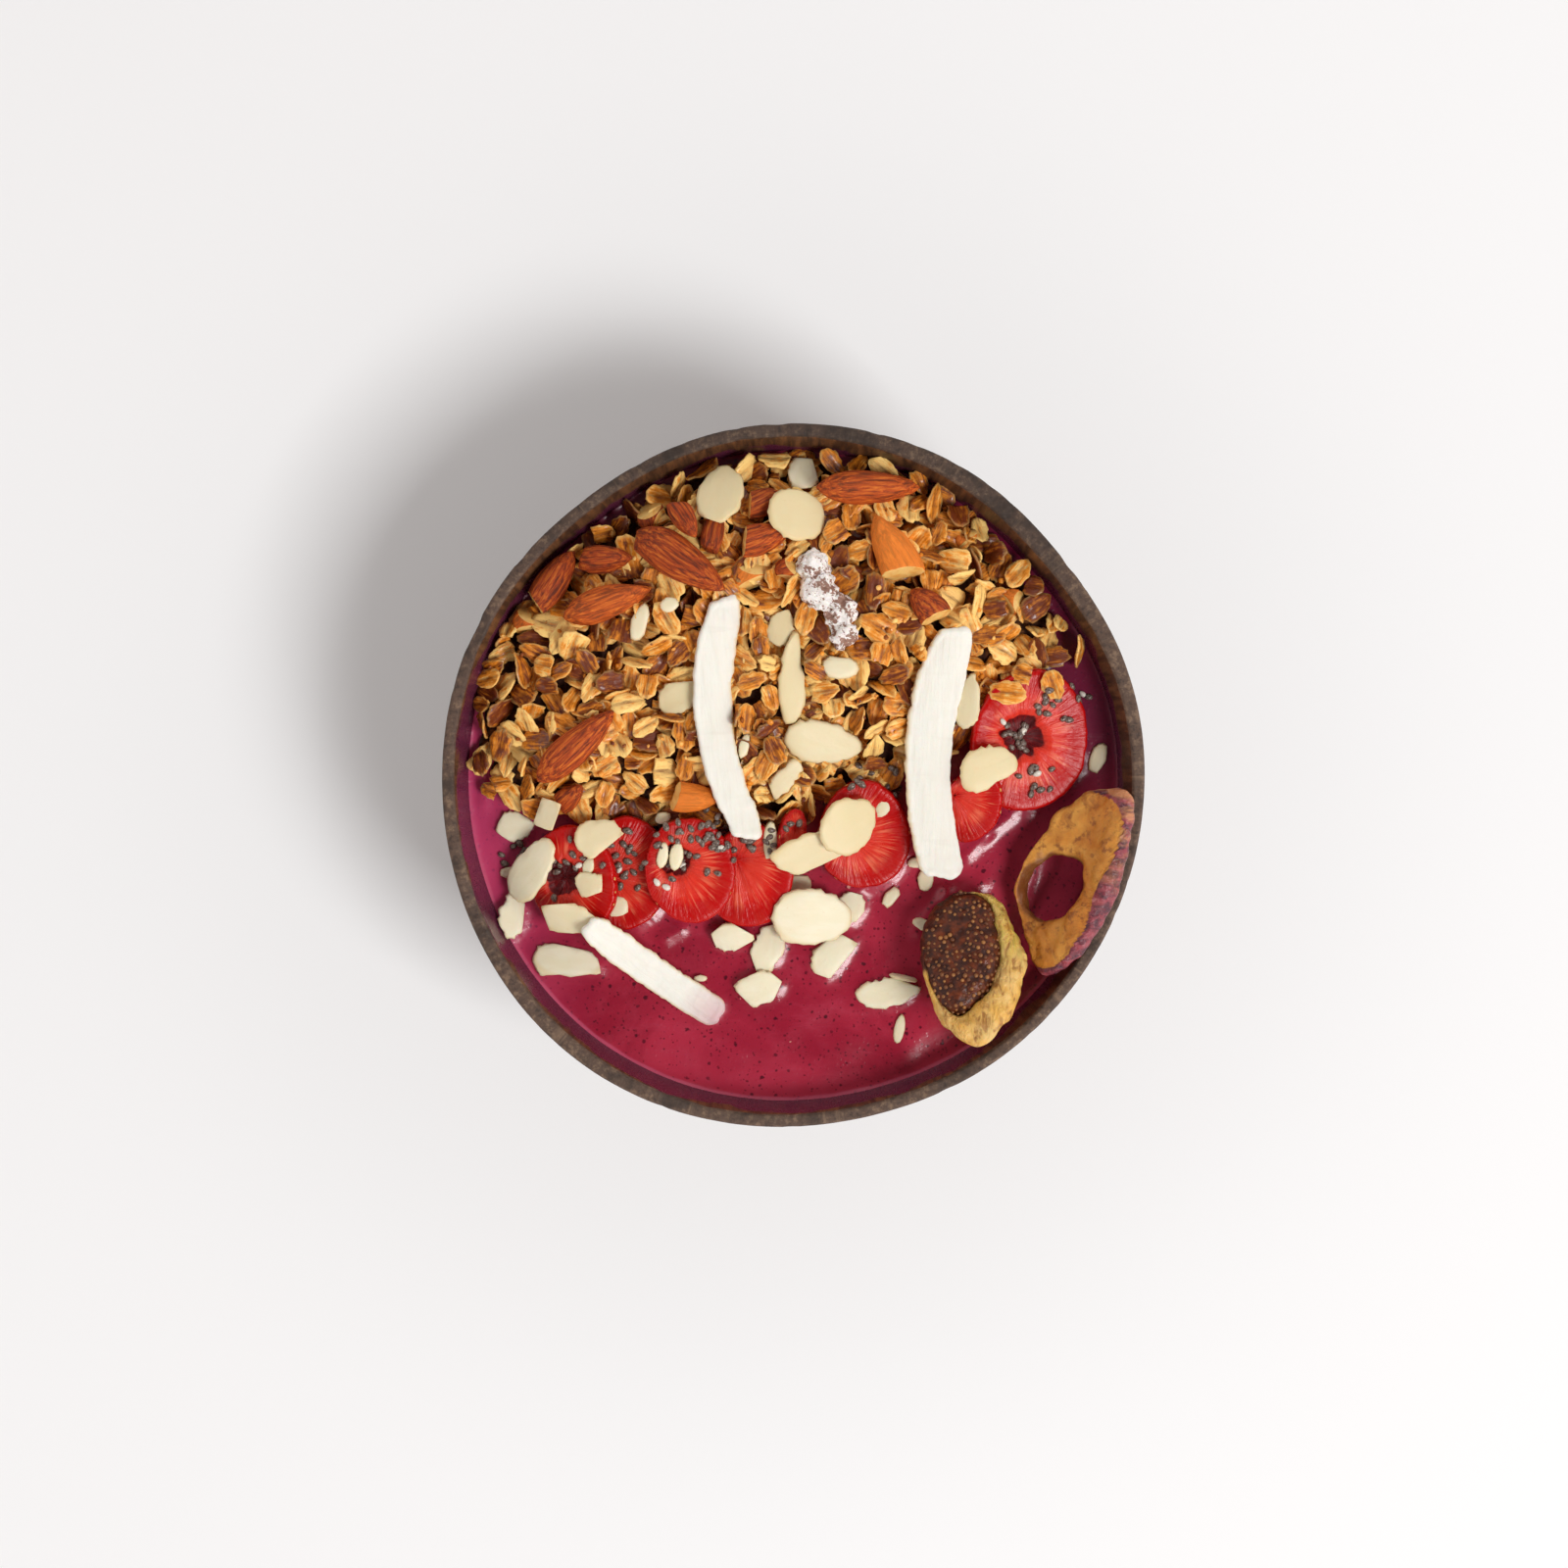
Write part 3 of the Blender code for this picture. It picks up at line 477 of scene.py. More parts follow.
def axes_of(points):
    """Centre, and the long, middle and short axes of some points, the short one upwards."""
    centre = (points.max(axis=0) + points.min(axis=0)) / 2
    spread = np.cov((points - points.mean(axis=0)).T)
    short, _, long = np.linalg.eigh(spread)[1].T
    short = short * math.copysign(1, short[2])
    long = long * math.copysign(1, long[0] + 0.01 * long[1])
    return centre, np.array((long, np.cross(short, long), short))


def search_tree(meshes):
    """One search tree over the faces of several meshes."""
    points, faces = [], []
    for mesh in meshes:
        start = len(points)
        points.extend(vert.co.copy() for vert in mesh.vertices)
        faces.extend([index + start for index in face.vertices] for face in mesh.polygons)
    return BVHTree.FromPolygons(points, faces)


def node_tree(*names):
    """A search tree of solids."""
    return search_tree(frame["nodes"][name].data for name in names)


def piece_tree(*names):
    """A search tree of pieces that are already made."""
    return search_tree(bpy.data.objects[name].data for name in names)


def seen_from_above(tree, x, y):
    """The uppermost place of a search tree over x and y, and the normal there."""
    return tree.ray_cast(Vector((x, y, OVERHEAD)), DOWN)[:2]


def upright_on(normal):
    """The turn that takes the vertical to a normal."""
    return UP.rotation_difference(normal).to_matrix()


def wobble(point, size, seed=0.0):
    """Smooth noise from -1 to 1 with features of the given size."""
    return noise.noise(Vector(point) / size + Vector((seed * 7.31, seed * 3.17, seed)))


def push(bm, amount):
    """Move every point along its normal by a function of its place and normal."""
    bm.normal_update()
    moves = [(vert, vert.normal * amount(vert.co, vert.normal)) for vert in bm.verts]
    for vert, move in moves:
        vert.co += move


class Terrain:
    """Heights seen from straight above, on a square grid over the bowl."""

    def __init__(self, reach=76 * MM, pitch=0.5 * MM):
        self.reach = reach
        self.side = int(2 * reach / pitch) + 1
        self.marks = np.linspace(-reach, reach, self.side)

    def seen(self, tree, start=OVERHEAD, way=DOWN):
        """Height of a search tree's surface in each cell, minus one where there is none."""
        heights = np.full((self.side, self.side), -1.0)
        for row, y in enumerate(self.marks):
            for column, x in enumerate(self.marks):
                hit = tree.ray_cast(Vector((x, y, start)), way)[0]
                if hit is not None:
                    heights[row, column] = hit.z
        return heights

    def cell(self, value):
        """Row or column of a coordinate."""
        return int(round((value + self.reach) / (2 * self.reach) * (self.side - 1)))

    def around(self, x, y, span):
        """Slices of the cells round a place, and their offsets from it."""
        rows = slice(max(0, self.cell(y - span)), self.cell(y + span) + 1)
        columns = slice(max(0, self.cell(x - span)), self.cell(x + span) + 1)
        dx, dy = np.meshgrid(self.marks[columns] - x, self.marks[rows] - y)
        return (rows, columns), dx, dy


def lowered(heights, mask, cells):
    """Each cell of a mask set to the lowest of its neighbours in the mask, in a disc."""
    filled = np.where(mask, heights, 1.0)
    lowest = filled.copy()
    for a in range(-cells, cells + 1):
        for b in range(-cells, cells + 1):
            if a * a + b * b <= cells * cells:
                lowest = np.minimum(lowest, np.roll(filled, (a, b), (0, 1)))
    return lowest


def blurred(values, cells, times=2):
    """Values averaged over a square of neighbours, a few times."""
    for axis in (0, 1) * times:
        total = sum(np.roll(values, shift, axis) for shift in range(-cells, cells + 1))
        values = total / (2 * cells + 1)
    return values


def masked_blur(values, mask, cells):
    """Values in a mask averaged with their neighbours in the mask."""
    weight = blurred(mask.astype(float), cells)
    total = blurred(np.where(mask, values, 0.0), cells)
    return np.where(mask, total / np.maximum(weight, 1e-6), values)


def make_shell_material(looks):
    """Coconut shell: sawn rim, polished fibrous outside, dark inside with smears."""
    web = Finish("coconut_shell", Specular_IOR_Level=0.4)
    inner = web.value("inner")
    rim = web.value("rim")
    x, y, z = web.parts(web.place)
    angle = web.math("ARCTAN2", y, x)
    around = web.bundle(angle * 9, z * 14, rim)
    fibres = web.noise(6.0, 6.0, 0.65, around, 0.4)
    mottle = web.noise(120, 4.0, 0.6)
    grain = web.noise(1100, 3.0, 0.6)
    pores = web.cells(520)
    outside = web.cover(
        looks.outside,
        (fibres, 0.4, 0.72, 1, screen(122, 84, 54)),
        (mottle, 0.42, 0.62, 1, screen(48, 28, 17)),
        (web.noise(40, 2.0, 0.5, around), 0.6, 0.68, 0.55, screen(158, 122, 84)))
    scratch = web.noise(1.0, 4.0, 0.7, web.bundle(angle * 24, z * 200, rim), 0.8)
    chips = web.noise(620, 4.0, 0.75)
    sawn = web.cover(
        looks.rim,
        (chips, 0.5, 0.66, 0.75, looks.fleck),
        (chips, 0.46, 0.34, 0.8, screen(56, 43, 36)),
        (scratch, 0.56, 0.72, 0.7, looks.fleck),
        (mottle, 0.48, 0.66, 0.7, screen(50, 38, 31)))
    # The sawn rim is darker towards the top (+y).
    sawn = web.shade(sawn, 1.0 - web.step(y, 0.02, 0.07) * 0.3)
    front = web.step((x + y * 1.2) * -1, 0.0, 0.05) * 0.0055
    wet = web.step(web.noise(75, 4.0, 0.6, None, 0.6) + (z - 0.0555 - front) * -70, 0.5, 0.62)
    grain_up = web.noise(1.0, 4.0, 0.65, web.bundle(angle * 40, z * 60, 3.0), 0.3)
    bare = web.mix(web.step(grain_up, 0.36, 0.68), looks.inside, screen(116, 76, 46))
    inside = web.mix(wet * 0.85, bare, looks.stain)
    colour = web.mix(rim, web.mix(inner, outside, inside), sawn)
    rough = 0.5 + rim * 0.2 - inner * wet * 0.25 + (fibres - 0.5) * 0.3
    height = grain * 0.4 + web.step(pores, 0.0, 0.35) * 0.5 + fibres * 1.5
    return web.finish(colour, rough, height, 0.25 * MM, 0.7)


class BOWL_OT_shell(bpy.types.Operator):
    """Make the coconut shell over its solid."""

    bl_idname = "bowl.shell"
    bl_label = "Coconut Shell"
    NICKED = 6 * MM
    RIM_BAND = 1.2 * MM

    def execute(self, context):
        looks = context.scene.bowl_shell
        bm = node_copy("coconut_bowl", join=60)
        crease(bm, 70, 0.6)
        crease(bm, 35, 0.45)
        bm = smoothed(bm, 3)
        top = max(vert.co.z for vert in bm.verts)

        def relief(place, _normal):
            near_rim = max(0.0, 1 - (top - place.z) / self.NICKED)
            grain = wobble(place, 9 * MM, 1) * 0.3 + wobble(place, 2.6 * MM, 2) * 0.12
            nick = max(0.0, wobble(place, 5 * MM, 3) - 0.28) * 1.6
            side = 1.0 if place.z > 0.5 * MM else 0.0
            return side * (grain * 0.35 - nick * near_rim) * looks.relief

        push(bm, relief)
        bm.normal_update()
        inner, rim = [], []
        for vert in bm.verts:
            outward = Vector((vert.co.x, vert.co.y, vert.co.z - top)).normalized()
            inner.append(1.0 if vert.normal.dot(outward) < 0 else 0.0)
            level = vert.normal.z > 0.55 and vert.co.z > top - self.RIM_BAND
            rim.append(1.0 if level else 0.0)
        single(arrays(bm), "coconut_shell", make_shell_material(looks), "shell",
               "coconut_bowl", inner=inner, rim=rim)
        return {"FINISHED"}


# Dark specks in the smoothie: cells to the metre, size, share left out, strength
SPECKS = ((360, 0.2, 0.4, 0.85), (640, 0.26, 0.45, 0.7), (1100, 0.3, 0.5, 0.6))


def make_smoothie_material(looks):
    """Thick smoothie: glossy crimson with berry specks, thinner and purple at the wall."""
    web = Finish("berry_smoothie", Subsurface_Weight=0.06, Subsurface_Scale=0.003)
    swirl = web.noise(30, 4.0, 0.55, None, 1.4)
    cloud = web.noise(160, 5.0, 0.62)
    drawn = web.grain(web.place, (55, 190, 60), 5.0, 0.6, 0.8)
    body = web.cover(
        looks.body,
        (swirl, 0.36, 0.66, 1, looks.deep),
        (cloud, 0.45, 0.75, 0.3, screen(182, 58, 80)),
        (drawn, 0.54, 0.72, 0.35, screen(184, 58, 82)))
    scatter = web.add("ShaderNodeTexNoise", None, {"Vector": web.place, "Scale": 700.0})
    shift = web.stretched(scatter.outputs["Color"], 9e-4, 9e-4, 9e-4)
    warp = web.add("ShaderNodeVectorMath", {"operation": "ADD"},
                   {0: web.place, 1: shift}).outputs[0]
    for scale, size, left_out, share in SPECKS:
        near = web.cells(scale, warp)
        pick = web.parts(web.cells(scale, warp, "Color").socket)[0]
        speck = web.step(near, size, size * 0.5) * web.step(pick, left_out, left_out + 0.15)
        body = web.mix(speck * share, body, looks.speck)
    pick = web.parts(web.cells(210, warp, "Color").socket)[1]
    pale = web.step(web.cells(210, warp), 0.08, 0.05) * web.step(pick, 0.86, 0.88)
    body = web.mix(pale * 0.85, body, screen(232, 166, 150))
    x, y, _ = web.parts(web.place)
    # Painted light and shade by place: lighter pink towards the left, a painted sheen on the lit
    # side; darker purple towards the right, painted shadow of the rim and the fruit; dark purple
    # upwards, painted shade in the gap between the heap and the wall.
    body = web.cover(
        body,
        (x - y * 0.25, -0.025, -0.07, 0.6, screen(206, 72, 122)),
        (x + y * 0.5, 0.02, 0.07, 0.5, screen(118, 22, 60)),
        (y + x * 0.2, 0.004, 0.026, 0.6, screen(84, 16, 50)))
    lip = web.value("lip")
    # Painted highlight: a lighter pink line along the lower wall, where the smoothie's edge
    # catches the light.
    meniscus_sheen = web.step(lip, 0.02, 0.2) * web.step(lip, 0.6, 0.3) * web.step(y, 0.0, -0.03)
    body = web.mix(meniscus_sheen * 0.6, body, screen(206, 92, 122))
    body = web.mix(web.step(lip, 0.3, 0.8), body, looks.film)
    bubbles = web.step(web.cells(800), 0.2, 0.32)
    height = swirl * 0.5 + cloud * 0.3 + drawn * 0.5 - bubbles * 0.06
    return web.finish(body, 0.16 + cloud * 0.16, height, 0.45 * MM, 0.5)


# Ridges left in the smoothie by the spoon and the fruit: ends in mm, height and width in mm
RIDGES = (
    (26.5, -33.5, 33.0, -26.0, 0.9, 1.7), (33.0, -26.0, 40.5, -23.6, 0.8, 1.6),
    (37.2, -17.4, 41.5, -13.0, 0.7, 1.6), (41.5, -13.0, 46.5, -9.2, 0.7, 1.5),
    (-28.0, -35.5, -24.5, -33.5, 0.7, 1.5), (-9.5, -28.2, -3.0, -29.8, 0.7, 1.5),
    (-66.5, 3.0, -66.8, -6.0, 0.5, 1.6), (30.0, -50.0, 24.0, -60.0, 0.5, 3.0),
    (8.0, -58.0, 30.0, -56.0, 0.35, 3.5), (-40.0, -48.0, -12.0, -60.0, 0.35, 3.5),
)


def ridge_height(x, y):
    """Height of the ridges at a place on the smoothie."""
    total = 0.0
    spot = Vector((x, y))
    for x0, y0, x1, y1, height, width in RIDGES:
        start, way = Vector((x0, y0)) * MM, Vector((x1 - x0, y1 - y0)) * MM
        share = max(0.0, min(1.0, (spot - start).dot(way) / way.length_squared))
        away = (spot - start - way * share).length
        total += height * MM * math.exp(-((away / (width * MM)) ** 2))
    return total


class BOWL_OT_smoothie(bpy.types.Operator):
    """Make the smoothie, which climbs a little at the wall and around what lies in it."""

    bl_idname = "bowl.smoothie"
    bl_label = "Smoothie"
    RINGS = 150
    TURNS = 300
    SLACK = 0.7 * MM
    CLIMB = 1.1 * MM
    CLIMB_REACH = 3.2 * MM
    LIP_REACH = 2.2 * MM
    SKIRT_DEPTH = 8 * MM
    SKIRT_SHARE = 0.93

    def execute(self, context):
        looks = context.scene.bowl_smoothie
        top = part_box("smoothie")[1].z
        bm = bmesh.new()
        bmesh.ops.create_circle(bm, cap_ends=True, segments=self.TURNS, radius=1.0)
        bmesh.ops.poke(bm, faces=bm.faces)
        spokes = [edge for edge in bm.edges if not edge.is_boundary]
        bmesh.ops.subdivide_edges(bm, edges=spokes, cuts=self.RINGS, use_grid_fill=True)
        lips = self.shape_top(bm, top, looks)
        self.close_below(bm, top)
        lips += [0.0] * (len(bm.verts) - len(lips))
        single(arrays(bm), "berry_smoothie", make_smoothie_material(looks), "smoothie",
               "smoothie", lip=lips)
        return {"FINISHED"}

    def held(self, terrain, top):
        """How strongly each cell clings to what lies in it, from zero to one."""
        names = [name for name in frame["nodes"] if name not in ("coconut_bowl", "smoothie")
                 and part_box(name)[0].z < top + 1.5 * MM]
        below = terrain.seen(node_tree(*names), 0.0, UP)
        sunk = (below > 0) & (below < top + 1.6 * MM)
        return np.clip(blurred(sunk.astype(float), 2) * 1.5, 0, 1)

    def shape_top(self, bm, top, looks):
        """Spread a flat disc to the wall and raise it; returns how near each point is to it."""
        terrain = Terrain()
        cling = self.held(terrain, top)
        wall_angles, wall_reaches = smoothie_edge(self.TURNS)
        lips = []
        for vert in bm.verts:
            reach = math.hypot(vert.co.x, vert.co.y)
            angle = math.atan2(vert.co.y, vert.co.x)
            limit = float(np.interp(angle % math.tau, wall_angles, wall_reaches))
            x = limit * reach * math.cos(angle)
            y = limit * reach * math.sin(angle)
            wall = max(0.0, 1 - limit * (1 - reach) / self.CLIMB_REACH)
            hold = cling[terrain.cell(y), terrain.cell(x)]
            swell = wobble((x, y, 0), 26 * MM, 4) + 0.35 * wobble((x, y, 0), 8 * MM, 5)
            lift = looks.swell * swell * (1 - wall) + looks.cling * hold + self.CLIMB * wall ** 2
            lift += ridge_height(x, y) * (1 - wall)
            vert.co = Vector((x, y, top - self.SLACK + lift))
            lips.append(max(0.0, 1 - limit * (1 - reach) / self.LIP_REACH) ** 1.5)
        return lips

    def close_below(self, bm, top):
        """Draw the edge down inside the wall and close it."""
        skirt = [edge for edge in bm.edges if edge.is_boundary]
        for vert in bmesh.ops.extrude_edge_only(bm, edges=skirt)["geom"]:
            if isinstance(vert, bmesh.types.BMVert):
                vert.co *= self.SKIRT_SHARE
                vert.co.z = top - self.SKIRT_DEPTH
        bmesh.ops.holes_fill(bm, edges=[edge for edge in bm.edges if edge.is_boundary])
        bmesh.ops.recalc_face_normals(bm, faces=bm.faces)


def smoothie_edge(count):
    """Angles, and the inner wall's distance from the axis at the smoothie's level."""
    tree = node_tree("coconut_bowl")
    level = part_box("smoothie")[1].z
    angles = np.linspace(0, math.tau, count + 1)
    reaches = []
    for angle in angles:
        way = Vector((math.cos(angle), math.sin(angle), 0))
        reaches.append(tree.ray_cast(Vector((0, 0, level)), way)[3])
    return angles, np.array(reaches) + 0.25 * MM


def oat_template(seed, looks):
    """A rolled oat: a creased oval, pointed at one end, with ragged edges and a curl."""
    rng = random.Random(seed)
    bm = bmesh.new()
    bmesh.ops.create_grid(bm, x_segments=8, y_segments=6, size=1.0)
    bmesh.ops.solidify(bm, geom=bm.faces[:], thickness=1.0)
    middle = (min(v.co.z for v in bm.verts) + max(v.co.z for v in bm.verts)) / 2
    curl, cup, twist = rng.uniform(-32, 32), rng.uniform(-60, 60), rng.uniform(-55, 55)
    point = rng.uniform(0.12, 0.34)
    broken = rng.uniform(0.25, 0.7) if seed % 4 == 0 else 1.0
    edges, along = [], []
    for vert in bm.verts:
        side = math.copysign(1.0, vert.co.z - middle)
        u = vert.co.x
        v = math.copysign(abs(vert.co.y) ** 1.3, vert.co.y)
        x = u * math.sqrt(1 - v * v / 2)
        y = v * math.sqrt(1 - u * u / 2) * (1 - point * x)
        rim = max(abs(u), abs(v))
        ragged = 1 + rim ** 3 * 0.26 * wobble((x, y, 0), 0.4, seed)
        px = min(x, broken + 0.12 * wobble((0, y, 0), 0.5, seed)) * looks.length / 2 * ragged
        py = y * looks.width / 2 * ragged
        groove = math.exp(-((y / 0.17) ** 2)) * (1 - 0.6 * rim)
        bend = curl * px * px + cup * py * py + twist * px * py
        bend += looks.thickness * 0.45 * wobble((px * 0.6, py, 0), 1.7 * MM, seed + 9)
        half = looks.thickness / 2 * (1 - 0.55 * rim ** 3) * (1 - 0.45 * groove)
        vert.co = Vector((px, py, bend + side * half - groove * looks.thickness * 0.3))
        edges.append(rim)
        along.append((px, py, groove))
    bmesh.ops.recalc_face_normals(bm, faces=bm.faces)
    points, faces, _ = arrays(bm)
    return points, faces, np.array(edges), np.array(along)


def make_oat_material(looks):
    """Toasted rolled oat: straw edges and ridges, honey body, brown creases, some glaze."""
    web = Finish("toasted_oat", Coat_Roughness=0.22, Specular_IOR_Level=0.35)
    tint = web.value("tint")
    edge = web.value("edge")
    shape = web.vector("along")
    _, _, groove = web.parts(shape)
    lines = web.grain(shape, (240, 1500, 0), 4.0, 0.65, 0.35)
    patch = web.noise(380, 4.0, 0.6)
    fine = web.noise(2600, 3.0, 0.6)
    tone = tint + (patch - 0.5) * 1.3 + (lines - 0.5) * 2.0
    colour = web.cover(looks.pale, (tone, 0.0, 0.5, 1, looks.golden),
                       (tone, 0.4, 1.0, 1, looks.toasted))
    bare = web.step(edge + (lines - 0.5) * 0.6, 0.78, 1.02) * (1.05 - tint * 0.8)
    colour = web.mix(bare * 0.85, colour, looks.pale)
    colour = web.mix(groove * web.step(lines, 0.68, 0.42) * 0.9, colour, looks.toasted)
    colour = web.mix(web.step(lines, 0.42, 0.3) * 0.6, colour, looks.toasted)
    colour = web.shade(colour, 0.88 + fine * 0.4)
    glaze = web.step(patch, 0.48, 0.6)
    web.feed(web.shader.inputs["Coat Weight"], glaze * 0.6)
    height = lines * 1.1 + fine * 0.2 + patch * 0.5
    return web.finish(colour, 0.6 - glaze * 0.22, height, 0.3 * MM, 0.9)


def make_shaded_core_material(looks):
    """Crumbly inside of the heap, painted dark as the shade deep between the oats."""
    web = Finish("heap_core_shade", Roughness=0.8)
    lumps = web.cells(420)
    grit = web.noise(1500, 4.0, 0.7)
    colour = web.mix(web.step(lumps, 0.5, 0.15), looks.core, screen(146, 86, 34))
    colour = web.shade(colour, 0.6 + grit * 0.7)
    return web.finish(colour, None, grit + lumps * -1.2, 0.8 * MM, 1.0)


# How far the heap's core lies under the solid, the room under a topping, how far an oat
# may sink into a crowded place, and the highest that one may lie over the core
CORE_DEPTH, LID_ROOM, SINK, TALLEST = 1.0 * MM, 0.9 * MM, 2.2 * MM, 4.6 * MM


class HeapGround:
    """The surface that the oats pile up on, and the toppings that they must not hide."""

    def __init__(self):
        self.grid = Terrain()
        solid = self.grid.seen(node_tree("granola"))
        dish = self.grid.seen(node_tree("coconut_bowl", "smoothie"))
        names = [n for n in frame["nodes"] if n not in ("coconut_bowl", "smoothie", "granola")]
        self.cover = self.grid.seen(node_tree(*names))
        self.mask = solid > dish
        core = masked_blur(lowered(solid, self.mask, 6), self.mask, 3)
        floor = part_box("smoothie")[1].z - 0.4 * MM
        self.core = np.where(self.mask, np.maximum(core - CORE_DEPTH, floor), floor)
        self.ground = np.where(self.mask, self.core, dish)

    def bury(self):
        """Take the toppings' tops as the ground for what lies on them."""
        self.ground = np.maximum(self.ground, self.cover)
        self.core = self.ground.copy()
        self.cover = np.zeros_like(self.cover)

    def ellipse(self, x, y, frame_axes, half_length, half_width):
        """Cells under a tilted oval at a place, with its height over its centre in each."""
        where, dx, dy = self.grid.around(x, y, half_length)
        along, across, normal = frame_axes
        rise = -(normal[0] * dx + normal[1] * dy) / normal[2]
        u = dx * along[0] + dy * along[1] + rise * along[2]
        v = dx * across[0] + dy * across[1] + rise * across[2]
        inside = (u / half_length) ** 2 + (v / half_width) ** 2 <= 1.0
        return where, inside, rise

    def fit(self, x, y, frame_axes, sizes):
        """Lowest height at which an oval rests here and stays under the toppings."""
        half_length, half_width, half_thick = sizes
        where, inside, rise = self.ellipse(x, y, frame_axes, half_length, half_width)
        if not inside.any():
            return None
        half = half_thick / frame_axes[2][2]
        need = np.max(self.ground[where][inside] - rise[inside]) + half
        lid = self.cover[where][inside]
        covered = lid > 0
        if covered.any():
            room = np.min(lid[covered] - rise[inside][covered]) - half - LID_ROOM
            if need - room > SINK:
                return None
            need = min(need, room)
        return need

    def settle(self, x, y, height, frame_axes, sizes):
        """Raise the ground where an oval now lies."""
        half_length, half_width, half_thick = sizes
        where, inside, rise = self.ellipse(x, y, frame_axes, half_length, half_width)
        half = half_thick / frame_axes[2][2]
        ground = self.ground[where]
        ground[inside] = np.maximum(ground[inside], (height + rise + half * 0.6)[inside])


def tilted_axes(rng, tilt):
    """Axes of a flat-lying oval turned at random and tilted."""
    spin = Matrix.Rotation(rng.uniform(0, math.tau), 3, "Z")
    way = rng.uniform(0, math.tau)
    lean = Matrix.Rotation(tilt, 3, Vector((math.cos(way), math.sin(way), 0)))
    turned = np.array(lean @ spin).T
    return turned if turned[2][2] > 0 else turned * np.array([[1], [-1], [-1]])


# Single oats that fell beside the heap: x, y in mm
LOOSE_OATS = (
    (-67.2, 7.3), (-63.4, 25.5), (61.3, 26.6), (57.5, 32.8), (12.6, 67.4), (-4.2, 67.6),
    (-33.5, 57.5),
)
# Single oats on the right-hand strawberry slice: x, y in mm
OATS_ON_SLICE = ((55.3, 19.0), (45.4, 17.4), (49.6, 21.2))


